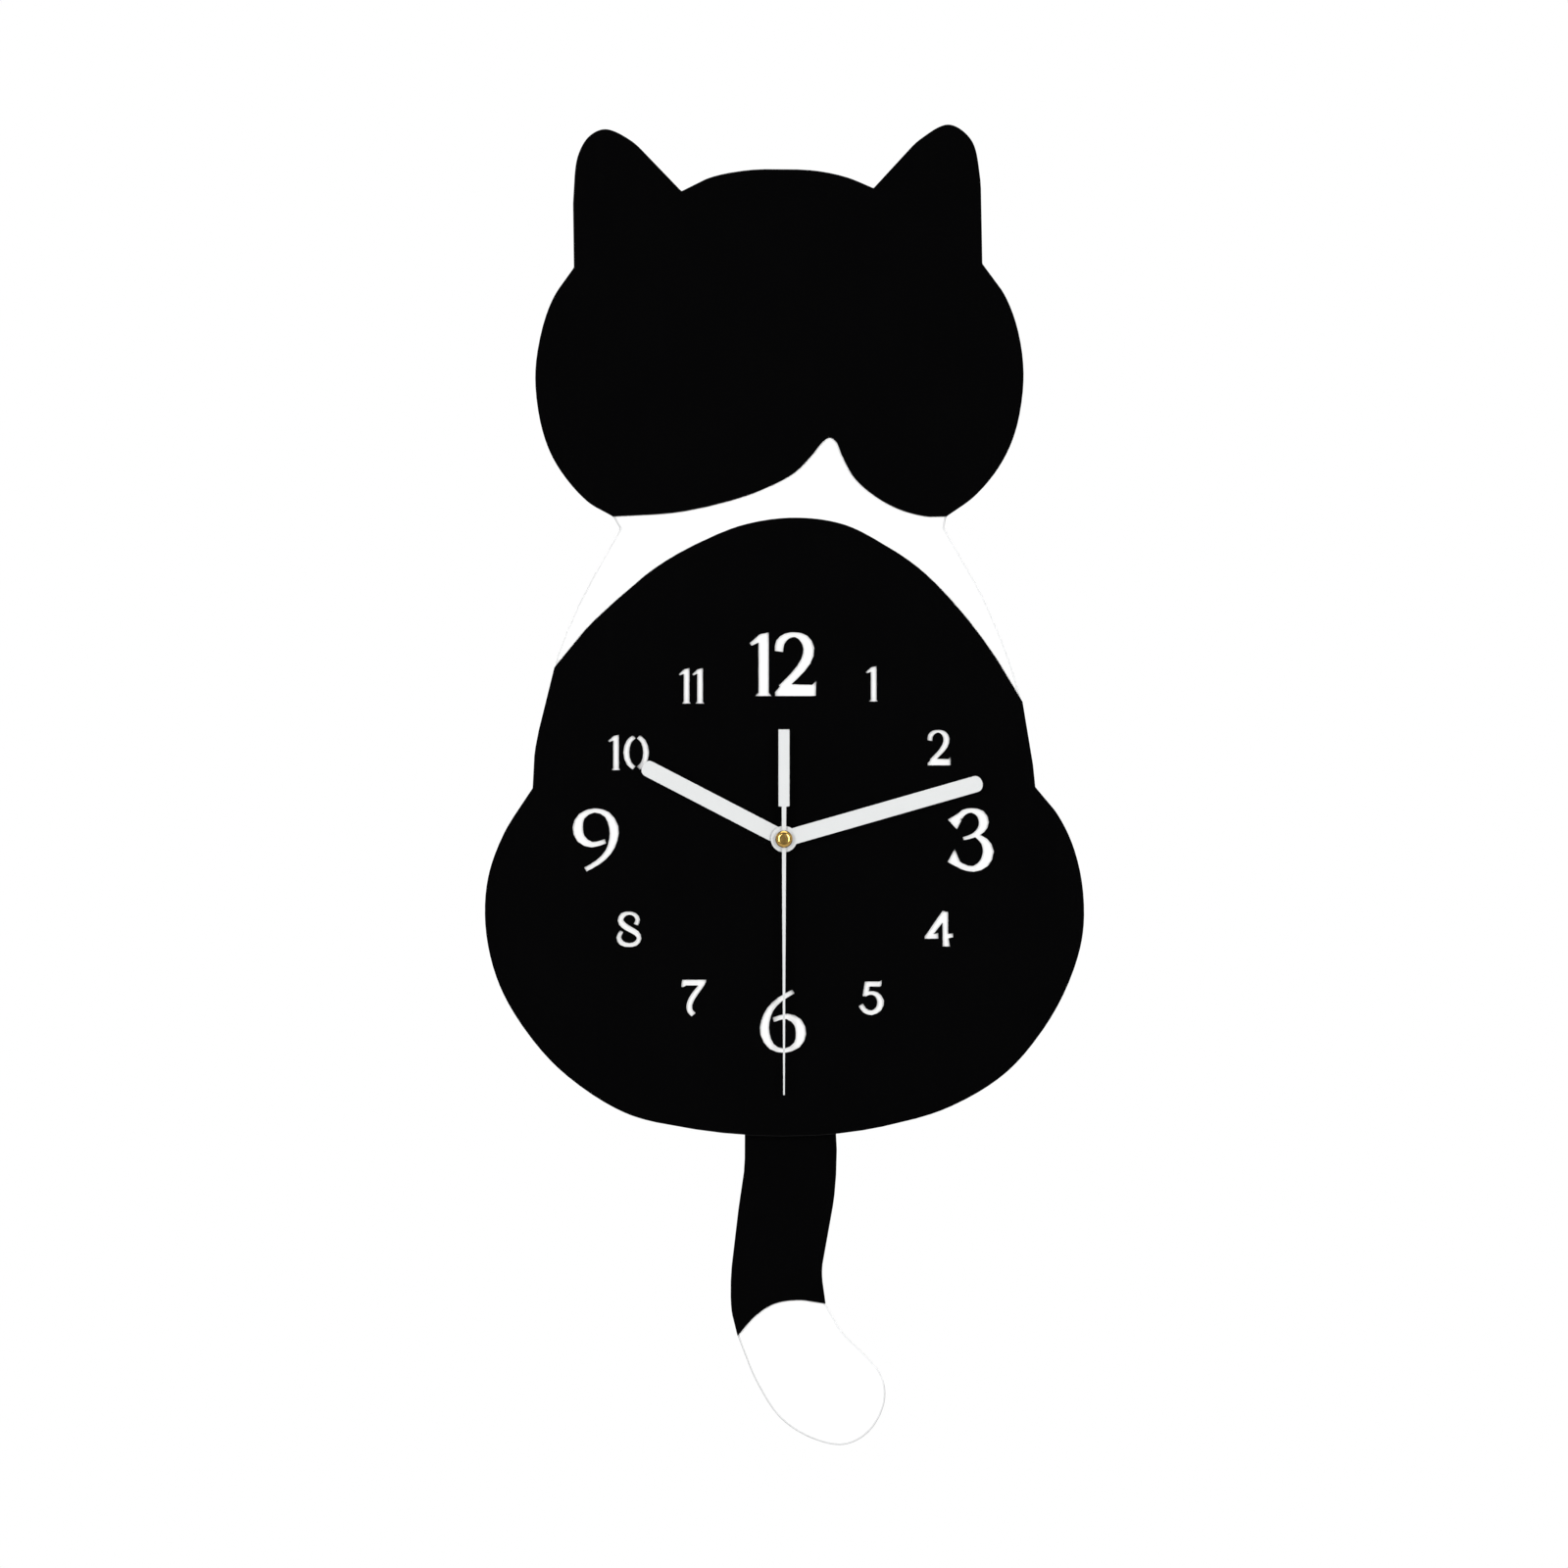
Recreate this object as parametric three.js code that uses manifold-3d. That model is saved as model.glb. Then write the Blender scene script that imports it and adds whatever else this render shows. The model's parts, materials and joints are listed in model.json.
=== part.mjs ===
// Cat tail clock: a flat acrylic wall clock in the shape of a sitting cat, whose tail swings below it.
// Millimetres. +Z is up, the front faces -Y and the wall is the plane y = 0.
// Outlines are drawn as [x, z] about the axis of the hands.
import * as THREE from 'three';
import { mergeVertices } from 'three/addons/utils/BufferGeometryUtils.js';
import Module from 'manifold-3d';

const wasm = await Module();
wasm.setup();

// ---------- driving dimensions ----------
const NAIL_Z = 42;              // height of the hanging slot's bearing edge above the hand axis
const CASE_DEPTH = 16;          // both plastic cases, front to back
const CASE_HALF = 28;           // half the side of a movement case
const CASE_WALL = 1.2;
const COVER = 1.4;              // thickness of the back covers
const FLOOR_Y = CASE_WALL - CASE_DEPTH;
const GAP = 0.3;                // running clearance between turning parts
const PLATE_REAR = -18.1;       // rear face of the base plate
const PLATE_THICK = 2;
const OVERLAY_REAR = -20.25;
const OVERLAY_THICK = 1.5;
const NUMERAL_RING = 70.3;      // radius on which the small numerals stand
const BIG_RING_SIDE = 74;
const SMALL_NUMERAL = 13.9;
const BIG_NUMERAL = 25;
const NUMERAL_RISE = 0.1;       // the numerals stand this much above their nominal places
const HAND_WIDTH = 6.4;
const HUB_RADIUS = 5.2;         // the hands' round middles, which hide the nut
const BUSHING_RADIUS = 3.5;
const CLAMP_HOLE = 3.9;         // holes round the bushing in the plates, washers and bracket
const HOUR_LENGTH = 62.6;
const MINUTE_LENGTH = 81;
const SECOND_LENGTH = 100.4;
const HOUR_ANGLE = 297.4;       // degrees clockwise from twelve
const MINUTE_ANGLE = 74;
const SECOND_ANGLE = 180;
const DRIVE_TOP = -36;          // the tail drive's case, top and bottom
const DRIVE_BOTTOM = -92;
const DRIVE_X = 3.22;           // the drive stands right above the tail's centre of mass
const PIVOT_Z = -46;
const MAGNET_Z = -80;
const CELL_RADIUS = 7.1;        // AA cell
const CELL_BODY = 49.2;
const CELL_LENGTH = 50.5;
const CELL_Y = -7.4;
const TIME_CELL_Z = -19.5;
const DRIVE_CELL_X = 19.4;      // measured from the middle of the drive
const DRIVE_MID_Z = (DRIVE_TOP + DRIVE_BOTTOM) / 2;
const SMOOTH_TURN = 3;          // degrees by which a smooth outline turns between its points
const SHORTEST_CHORD = 0.8;
const FINE_STEP = 0.2;          // spacing at which a curve's turn is followed

// ---------- helpers ----------
const radians = (degrees) => degrees * Math.PI / 180;
const polar = (from, distance, degrees) => [
  from[0] + distance * Math.cos(radians(degrees)),
  from[1] + distance * Math.sin(radians(degrees)),
];

function solid(geometry) {
  geometry.deleteAttribute('normal');
  geometry.deleteAttribute('uv');
  const merged = mergeVertices(geometry, 1e-4);
  return new wasm.Manifold(new wasm.Mesh({
    numProp: 3,
    vertProperties: merged.attributes.position.array,
    triVerts: new Uint32Array(merged.index.array),
  }));
}

function toGeometry(body) {
  const mesh = body.getMesh();
  const geometry = new THREE.BufferGeometry();
  geometry.setAttribute('position', new THREE.BufferAttribute(mesh.vertProperties, 3));
  geometry.setIndex(new THREE.BufferAttribute(mesh.triVerts, 1));
  return geometry;
}

// A flat piece with outline [x, z] points, from its rear face to its front face.
function plate(points, rear, front) {
  const shape = new THREE.Shape(points.map(([x, z]) => new THREE.Vector2(x, z)));
  const geometry = new THREE.ExtrudeGeometry(shape, { depth: rear - front, bevelEnabled: false });
  geometry.rotateX(Math.PI / 2);
  geometry.translate(0, rear, 0);
  return solid(geometry);
}

function block(x0, x1, y0, y1, z0, z1) {
  const geometry = new THREE.BoxGeometry(x1 - x0, y1 - y0, z1 - z0);
  geometry.translate((x0 + x1) / 2, (y0 + y1) / 2, (z0 + z1) / 2);
  return solid(geometry);
}

function disc(at, radius, rear, front, segments = 20) {
  const geometry = new THREE.CylinderGeometry(radius, radius, rear - front, segments);
  geometry.translate(at[0], (rear + front) / 2, at[1]);
  return solid(geometry);
}

// A turned piece on an axis along Y; the profile is a list of [radius, y].
function turned(at, profile, segments = 24) {
  const points = profile.map(([r, y]) => new THREE.Vector2(r, y));
  const geometry = new THREE.LatheGeometry(points, segments);
  geometry.translate(at[0], 0, at[1]);
  return solid(geometry);
}

// A round piece on an upright axis, from one height to another.
function upright(x, y, radius, z0, z1, segments = 20) {
  const geometry = new THREE.CylinderGeometry(radius, radius, z1 - z0, segments);
  geometry.rotateX(Math.PI / 2);
  geometry.translate(x, y, (z0 + z1) / 2);
  return solid(geometry);
}

// A round piece on an axis along X.
function level(x0, x1, y, z, radius, segments = 20) {
  const geometry = new THREE.CylinderGeometry(radius, radius, x1 - x0, segments);
  geometry.rotateZ(Math.PI / 2);
  geometry.translate((x0 + x1) / 2, y, z);
  return solid(geometry);
}

const boss = (at, radius, rear, front) => disc(at, radius, rear, front, 12);
const joined = (...bodies) => bodies.reduce((whole, body) => whole.add(body));
const cut = (body, ...tools) => tools.reduce((left, tool) => left.subtract(tool), body);

// A smooth run through its control points, cut into chords that each turn by SMOOTH_TURN or a little more.
function smooth(points) {
  const places = points.map(([x, z]) => new THREE.Vector3(x, 0, z));
  const curve = new THREE.CatmullRomCurve3(places, false, 'centripetal');
  const fine = curve.getSpacedPoints(Math.ceil(curve.getLength() / FINE_STEP));
  const kept = [fine[0]];
  let heading = fine[1].clone().sub(fine[0]);
  for (let i = 1; i < fine.length - 1; i += 1) {
    const next = fine[i + 1].clone().sub(fine[i]);
    const far = fine[i].distanceTo(kept.at(-1)) > SHORTEST_CHORD;
    if (far && next.angleTo(heading) > radians(SMOOTH_TURN)) {
      kept.push(fine[i]);
      heading = next;
    }
  }
  return [...kept, fine.at(-1)].map((place) => [place.x, place.z]);
}

// Joins runs that share their end points into one outline without repeats.
function outline(...runs) {
  const all = runs.flat();
  return all.filter(([x, z], i) => {
    const [px, pz] = all[(i + all.length - 1) % all.length];
    return Math.hypot(x - px, z - pz) > 0.05;
  });
}

const group = new THREE.Group();
group.name = 'cat_tail_clock';
group.position.z = -NAIL_Z;

const drive = new THREE.Group();
drive.name = 'tail_drive';
drive.position.x = DRIVE_X;
group.add(drive);

// A part may be turned about the hand axis by an angle, clockwise as seen from the front.
function addPart(name, body, { colour, rough = 0.4, metal = 0 }, { parent = group, turn = 0 } = {}) {
  const material = new THREE.MeshStandardMaterial({ color: colour, roughness: rough, metalness: metal });
  const mesh = new THREE.Mesh(toGeometry(body), material);
  mesh.name = name;
  mesh.rotation.y = radians(turn);
  parent.add(mesh);
}

const BLACK_ACRYLIC = { colour: 0x0a0a0a, rough: 0.15 };
const WHITE_ACRYLIC = { colour: 0xf4f4f2, rough: 0.2 };
const PAINTED_WHITE = { colour: 0xebeeee, rough: 0.45 };
const BLACK_PLASTIC = { colour: 0x1b1b1d, rough: 0.6 };
const GEAR_PLASTIC = { colour: 0xe9e6dc, rough: 0.5 };
const BRASS = { colour: 0xc9a04e, rough: 0.3, metal: 1 };
const STEEL = { colour: 0xb9bcc0, rough: 0.35, metal: 1 };
const COPPER = { colour: 0xb5652f, rough: 0.35, metal: 1 };
const BOARD_GREEN = { colour: 0x1f6b3c, rough: 0.55 };
const RUBBER = { colour: 0x151515, rough: 0.9 };
const FOAM = { colour: 0xf0eee6, rough: 0.9 };
const CELL_SKIN = { colour: 0x2d3f6e, rough: 0.35 };

// ---------- the cat's outline, in runs between corners, clockwise from the left cheek ----------
const leftCorner = [-67.2, 126.7];
const rightCorner = [63.8, 126.7];
const leftCheek = smooth([leftCorner, [-77.6, 132.9], [-89.2, 146.8], [-95, 160.6], [-97.8, 181],
  [-95.6, 198.5], [-90.8, 212.5], [-82.6, 224.6]]);
const leftEar = smooth([[-82.6, 224.6], [-83, 240], [-82.7, 255], [-81, 268.6], [-76.6, 276.2], [-70.3, 279],
  [-60, 274.4], [-50, 264.5], [-40.3, 254.6]]);
const crown = smooth([[-40.3, 254.6], [-29, 260], [-15, 262.8], [-1.7, 263.3], [13, 262.6],
  [25, 260], [35.2, 255.8]]);
const rightEar = smooth([[35.2, 255.8], [44.5, 266], [54, 275.4], [64.9, 280.8], [73.6, 274.8],
  [77, 261], [77.6, 244], [78, 226.1]]);
const rightCheek = smooth([[78, 226.1], [87, 213.4], [92.2, 199], [94.2, 181], [91.1, 160.6],
  [84.9, 146.8], [75, 134.8], rightCorner]);
const headTop = [leftCheek, leftEar, crown, rightEar, rightCheek];
const chin = smooth([rightCorner, [56, 126.7], [45, 129.6], [35, 135.2], [27.5, 142.1], [22.8, 150.6],
  [20.4, 156.2], [17.9, 157.7], [15.2, 156], [11, 150.8], [4, 143.8], [-7.9, 137.5], [-21, 132.9],
  [-42.2, 128.3], leftCorner]);

const leftShoulder = [-90.3, 67.4];
const rightShoulder = [93.8, 53.9];
const leftWaist = [-98.8, 20];
const rightWaist = [98.8, 20.4];
const rightNeck = smooth([[63, 122.2], [71.6, 107.6], [79, 93.6], [87.6, 73.2], rightShoulder]);
const leftNeck = smooth([leftShoulder, [-89.3, 71.6], [-83, 87.3], [-75.9, 101.5], [-64.4, 122]]);
const rightFlank = smooth([rightShoulder, [95.9, 42], [97.8, 30], rightWaist]);
const haunches = smooth([rightWaist, [107.6, 9.6], [113.8, -3.2], [117.5, -20], [117.3, -38.3],
  [111.7, -57], [101.5, -75.4], [86.5, -92.5], [64.3, -105.7], [40, -112.8], [20.6, -115.9], [2, -116.8],
  [-16, -116.3], [-38.3, -113.6], [-62.2, -107.8], [-86.4, -92.2], [-101.8, -75], [-112.2, -56.6],
  [-117.2, -36], [-116.5, -16], [-110.3, 1.8], leftWaist]);
const leftFlank = smooth([leftWaist, [-98, 34], [-94.6, 50.6], leftShoulder]);
const withers = smooth([leftShoulder, [-77.6, 82.8], [-64, 95.6], [-50, 107], [-34, 116.2],
  [-15.2, 123.7], [4.8, 126.3], [23.3, 123.7], [38.6, 116.2], [53.7, 105.9], [68.8, 90.5],
  [82, 73.2], rightShoulder]);

const baseOutline = outline(...headTop, rightNeck, rightFlank, haunches, leftFlank, leftNeck);
const headOutline = outline(...headTop, chin);
const backOutline = outline(withers, rightFlank, haunches, leftFlank);

// ---------- numerals: each is a list of polygons and of strokes [x, z, width], one unit high ----------
const nine = [[0.16, -0.02, 0.07], [-0.05, -0.075, 0.085], [-0.225, 0.02, 0.14], [-0.275, 0.2, 0.16],
  [-0.21, 0.375, 0.11], [-0.012, 0.465, 0.065], [0.185, 0.4, 0.1], [0.292, 0.2, 0.145],
  [0.285, 0.005, 0.13], [0.205, -0.19, 0.1], [0.05, -0.345, 0.08], [-0.155, -0.465, 0.07]];
const rightHalfOfNought = [[0.06, 0.44, 0.12], [0.2, 0.31, 0.14], [0.28, 0, 0.165], [0.2, -0.31, 0.14],
  [0.06, -0.44, 0.12]];
const DIGITS = {
  0: { strokes: [rightHalfOfNought, rightHalfOfNought.map(([x, z, w]) => [-x, z, w])] },
  1: { polygons: [[[-0.18, 0.33], [-0.02, 0.47], [0.12, 0.5], [0.12, -0.45], [0.16, -0.5],
    [-0.09, -0.5], [-0.04, -0.45], [-0.04, 0.34], [-0.15, 0.29]]] },
  2: {
    strokes: [[[-0.255, 0.2, 0.13], [-0.235, 0.34, 0.14], [-0.13, 0.44, 0.1], [0, 0.465, 0.075],
      [0.14, 0.4, 0.14], [0.215, 0.25, 0.17], [0.17, 0.05, 0.16], [0, -0.17, 0.13],
      [-0.215, -0.38, 0.12]]],
    polygons: [[[-0.315, -0.5], [0.325, -0.5], [0.33, -0.26], [0.27, -0.325], [-0.08, -0.315],
      [-0.2, -0.31], [-0.315, -0.44]]],
  },
  3: {
    strokes: [
      [[-0.19, 0.36, 0.1], [-0.12, 0.435, 0.09], [0, 0.465, 0.07], [0.14, 0.41, 0.13],
        [0.195, 0.28, 0.155], [0.15, 0.16, 0.12], [0.03, 0.07, 0.07], [-0.13, 0.02, 0.05]],
      [[0.06, 0.075, 0.05], [0.2, -0.02, 0.12], [0.265, -0.18, 0.17], [0.2, -0.36, 0.15],
        [0.03, -0.455, 0.09], [-0.16, -0.41, 0.09], [-0.27, -0.33, 0.1]],
    ],
    polygons: [
      [[-0.37, 0.32], [-0.19, 0.43], [-0.16, 0.3], [-0.23, 0.165]],
      [[-0.265, -0.14], [-0.18, -0.345], [-0.24, -0.42], [-0.375, -0.345]],
    ],
  },
  4: { polygons: [
    [[0.1, 0.48], [0.26, 0.48], [0.26, -0.15], [0.4, -0.13], [0.4, -0.24], [0.27, -0.27],
      [0.31, -0.5], [0.11, -0.5]],
    [[0.1, 0.5], [0.17, 0.5], [0.14, 0.22], [-0.15, -0.15], [-0.02, -0.12], [-0.02, -0.28],
      [-0.4, -0.28], [-0.4, -0.22]],
  ] },
  5: {
    strokes: [[[-0.2, 0.06, 0.09], [-0.05, 0.13, 0.1], [0.13, 0.09, 0.13], [0.25, -0.1, 0.19],
      [0.2, -0.31, 0.17], [0, -0.435, 0.13], [-0.2, -0.37, 0.14], [-0.31, -0.21, 0.14]]],
    polygons: [[[-0.19, 0.45], [0.22, 0.45], [0.29, 0.5], [0.27, 0.33], [0.23, 0.31], [-0.06, 0.31],
      [-0.1, 0.1], [-0.24, 0.02], [-0.26, 0.06]]],
  },
  6: { strokes: [nine.map(([x, z, w]) => [-x, -z, w])] },
  7: {
    strokes: [[[0.27, 0.42, 0.12], [0.1, 0.2, 0.15], [-0.06, -0.03, 0.16], [-0.13, -0.22, 0.16],
      [-0.11, -0.38, 0.16], [-0.01, -0.49, 0.15]]],
    polygons: [[[-0.33, 0.5], [0.34, 0.5], [0.34, 0.43], [0.26, 0.34], [-0.22, 0.34], [-0.3, 0.29],
      [-0.36, 0.3]]],
  },
  8: { strokes: [[[0.19, 0.13, 0.12], [0.245, 0.27, 0.13], [0.16, 0.41, 0.11], [0, 0.455, 0.09],
    [-0.175, 0.4, 0.14], [-0.245, 0.25, 0.16], [-0.15, 0.11, 0.17], [0.04, -0.01, 0.16],
    [0.22, -0.12, 0.15], [0.285, -0.26, 0.13], [0.19, -0.4, 0.13], [0, -0.445, 0.11],
    [-0.21, -0.39, 0.14], [-0.295, -0.23, 0.13], [-0.21, -0.06, 0.1]]] },
  9: { strokes: [nine] },
};
// [digits with their offsets in numeral heights, centre x, centre z, height]
const NUMERALS = [
  [[['1', -0.36], ['2', 0.175]], 0, 68.6, BIG_NUMERAL],
  [[['1', 0]], 34.7, 60.9, SMALL_NUMERAL],
  [[['2', 0]], NUMERAL_RING * Math.sin(radians(60)), 35.8, SMALL_NUMERAL],
  [[['3', 0]], BIG_RING_SIDE - 0.3, -0.5, BIG_NUMERAL],
  [[['4', 0]], NUMERAL_RING * Math.sin(radians(60)), -35.4, SMALL_NUMERAL],
  [[['5', 0]], 34.5, -62.4, SMALL_NUMERAL],
  [[['6', 0]], -0.2, -71.7, BIG_NUMERAL],
  [[['7', 0]], -35.4, -62.4, SMALL_NUMERAL],
  [[['8', 0]], -NUMERAL_RING * Math.sin(radians(60)), -35.6, SMALL_NUMERAL],
  [[['9', 0]], -BIG_RING_SIDE - 0.2, -0.5, BIG_NUMERAL],
  [[['1', -0.41], ['0', 0.2]], -NUMERAL_RING * Math.sin(radians(60)), 33.9, SMALL_NUMERAL],
  [[['1', -0.19], ['1', 0.19]], -36.2, 60.1, SMALL_NUMERAL],
];

// The outline of a stroke whose width changes along its centre line.
function strokeOutline(stroke) {
  const centre = new THREE.CatmullRomCurve3(stroke.map(([x, z, w]) => new THREE.Vector3(x, z, w)));
  const steps = (stroke.length - 1) * 2;
  const left = [];
  const right = [];
  for (let i = 0; i <= steps; i += 1) {
    const point = centre.getPoint(i / steps);
    const along = centre.getTangent(i / steps).setZ(0).normalize();
    left.push([point.x - along.y * point.z / 2, point.y + along.x * point.z / 2]);
    right.unshift([point.x + along.y * point.z / 2, point.y - along.x * point.z / 2]);
  }
  return [...left, ...right];
}

function numeralCutters(digits, x, z, height) {
  const cutters = [];
  for (const [digit, shift] of digits) {
    const { strokes = [], polygons = [] } = DIGITS[digit];
    for (const shape of [...strokes.map(strokeOutline), ...polygons]) {
      const placed = shape.map(([u, v]) => [x + (u + shift) * height, z + NUMERAL_RISE + v * height]);
      cutters.push(plate(placed, OVERLAY_REAR + 1, OVERLAY_REAR - OVERLAY_THICK - 1));
    }
  }
  return joined(...cutters);
}

// ---------- gears ----------
const TIP = 0.85;               // addendum and dedendum, in modules
const ROOT = 1.15;
const ROOT_HALF = 0.27;         // half the tooth's width at root and tip, in pitches
const TIP_HALF = 0.1;

function gearOutline(at, teeth, module, phase) {
  const pitch = 2 * Math.PI / teeth;
  const tipRadius = module * (teeth / 2 + TIP);
  const rootRadius = module * (teeth / 2 - ROOT);
  const corners = [[rootRadius, -ROOT_HALF], [tipRadius, -TIP_HALF], [tipRadius, TIP_HALF],
    [rootRadius, ROOT_HALF]];
  const points = [];
  for (let tooth = 0; tooth < teeth; tooth += 1) {
    for (const [radius, side] of corners) {
      const angle = phase + (tooth + side) * pitch;
      points.push([at[0] + radius * Math.cos(angle), at[1] + radius * Math.sin(angle)]);
    }
  }
  return points;
}

// The phase at which gear B's teeth stand in the gaps of gear A.
function meshedPhase(a, b) {
  const line = Math.atan2(b.at[1] - a.at[1], b.at[0] - a.at[0]);
  const share = (line - a.phase) * a.teeth / (2 * Math.PI);
  return line + Math.PI - (0.5 - share) * 2 * Math.PI / b.teeth;
}

const gear = (wheel, rear, front) => plate(gearOutline(wheel.at, wheel.teeth, wheel.module, wheel.phase),
  rear, front);
const meshing = (a, b) => ({ ...b, module: a.module, phase: meshedPhase(a, b) });

const HAND_AXIS = [0, 0];
const MOTION_AXIS = polar(HAND_AXIS, 7.5, 45);
const KNOB_AXIS = polar(MOTION_AXIS, 7.5, -20);
const THIRD_AXIS = polar(HAND_AXIS, 8.5, 135);
const FIFTH_AXIS = polar(HAND_AXIS, 7, 205);
const ROTOR_AXIS = polar(FIFTH_AXIS, 6, 160);

const cannonGear = { at: HAND_AXIS, teeth: 12, module: 7.5 * 2 / 48, phase: 0 };
const motionWheelGear = meshing(cannonGear, { at: MOTION_AXIS, teeth: 36 });
const knobGear = meshing(motionWheelGear, { at: KNOB_AXIS, teeth: 12 });
const hourGear = { at: HAND_AXIS, teeth: 40, module: 7.5 * 2 / 50, phase: 0 };
const motionPinionGear = meshing(hourGear, { at: MOTION_AXIS, teeth: 10 });
const centreGear = { at: HAND_AXIS, teeth: 64, module: 8.5 * 2 / 72, phase: 0 };
const thirdPinionGear = meshing(centreGear, { at: THIRD_AXIS, teeth: 8 });
const thirdWheelGear = { at: THIRD_AXIS, teeth: 60, module: 8.5 * 2 / 68, phase: 0 };
const secondPinionGear = meshing(thirdWheelGear, { at: HAND_AXIS, teeth: 8 });
const secondWheelGear = { at: HAND_AXIS, teeth: 48, module: 7 * 2 / 56, phase: 0 };
const fifthPinionGear = meshing(secondWheelGear, { at: FIFTH_AXIS, teeth: 8 });
const fifthWheelGear = { at: FIFTH_AXIS, teeth: 40, module: 6 * 2 / 48, phase: 0 };
const rotorPinionGear = meshing(fifthWheelGear, { at: ROTOR_AXIS, teeth: 8 });

// Gear layers from the front to the back: [rear face, front face].
const HOUR_LAYER = [-13.3, -14.3];
const MOTION_LAYER = [-11.8, -12.8];
const CENTRE_LAYER = [-10.1, -10.9];
const BRIDGE_LAYER = [-9, -9.8];
const THIRD_LAYER = [-7.9, -8.7];
const SECOND_LAYER = [-6, -6.8];
const FIFTH_LAYER = [-4, -4.8];

// ---------- acrylic plates ----------
const shaftHole = (radius) => disc(HAND_AXIS, radius, PLATE_REAR + 1, OVERLAY_REAR - OVERLAY_THICK - 1, 24);
const overlayFront = OVERLAY_REAR - OVERLAY_THICK;
addPart('base_plate', cut(plate(baseOutline, PLATE_REAR, PLATE_REAR - PLATE_THICK), shaftHole(CLAMP_HOLE)),
  WHITE_ACRYLIC);
addPart('head_overlay', plate(headOutline, OVERLAY_REAR, overlayFront), BLACK_ACRYLIC);
addPart('back_overlay', cut(plate(backOutline, OVERLAY_REAR, overlayFront), shaftHole(CLAMP_HOLE),
  ...NUMERALS.map((numeral) => numeralCutters(...numeral))), BLACK_ACRYLIC);

// ---------- fixing: bracket, washers and nut on the threaded bushing ----------
const BRACKET_FRONT = -16.9;
const BRACKET_SHEET = 0.8;
const BRACKET_HALF = 9;
const SHELF_TOP = 31;           // the bracket's bend back over the movement
const TAB_REAR = -0.8;
const SLOT_HALF = 4.5;
const SLOT_HEIGHT = 8;
function hangerBracket() {
  const shelfBottom = SHELF_TOP - BRACKET_SHEET;
  const leg = block(-BRACKET_HALF, BRACKET_HALF, BRACKET_FRONT, BRACKET_FRONT + BRACKET_SHEET, -7, SHELF_TOP);
  const shelf = block(-BRACKET_HALF, BRACKET_HALF, BRACKET_FRONT, TAB_REAR, shelfBottom, SHELF_TOP);
  const tab = block(-BRACKET_HALF, BRACKET_HALF, TAB_REAR - BRACKET_SHEET, TAB_REAR, shelfBottom, NAIL_Z + 5);
  const slot = block(-SLOT_HALF, SLOT_HALF, TAB_REAR - 2, TAB_REAR + 1, NAIL_Z - SLOT_HEIGHT, NAIL_Z);
  return cut(joined(leg, shelf, tab), slot,
    disc(HAND_AXIS, CLAMP_HOLE, BRACKET_FRONT + 2, BRACKET_FRONT - 1, 24));
}
const ring = (outer, inner, rear, front, segments = 20) => turned(HAND_AXIS,
  [[inner, front], [outer, front], [outer, rear], [inner, rear], [inner, front]], segments);
addPart('hanger_bracket', hangerBracket(), STEEL);
addPart('rubber_washer', ring(8, CLAMP_HOLE, -17, -18), RUBBER);
addPart('brass_washer', ring(5, CLAMP_HOLE, -21.85, -22.3), BRASS);
const hexagon = [0, 60, 120, 180, 240, 300].map((angle) => polar(HAND_AXIS, 5.1, angle));
addPart('hex_nut', cut(plate(hexagon, -22.4, -24.4), disc(HAND_AXIS, BUSHING_RADIUS + GAP, -22, -25, 24)),
  BRASS);

// ---------- movement case ----------
const INNER = CASE_HALF - CASE_WALL;
const DIVIDER_TOP = -10.4;      // upper face of the wall between the wheels and the battery bay
const DIVIDER_BOTTOM = DIVIDER_TOP - 1;
const SEAT = 0.1;               // gap between a cover and the walls that carry it
const POST = 1.4;               // radius of posts and bearing bosses
const PIN = 0.6;                // radius of fixed pins
const ARBOR = 0.45;             // radius of the turning arbors
const BEARING = 0.8;            // radius of their holes
const ENGRAVED = 0.3;           // depth of the marks moulded into the covers
const SCOOP = 8;                // radius of the finger scoops in the battery bays
const SCOOP_Y = 2.5;
const BOARD_POSTS = [[10, 22], [23.5, 16]];
const BRIDGE_POSTS = [[-13.5, 12], [5.4, -8.6], [12, 14]];
const SNAPS = [[-1, 5], [-1, 19], [1, 5], [1, 19]];  // side and height of the cover's hooks
const SNAP_HALF = 3;

// A box through the side wall, measured outwards from its inner face.
function throughWall(side, from, to, y0, y1, z, halfHeight) {
  const [x0, x1] = [side * (INNER + from), side * (INNER + to)].sort((a, b) => a - b);
  return block(x0, x1, y0, y1, z - halfHeight, z + halfHeight);
}

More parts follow.
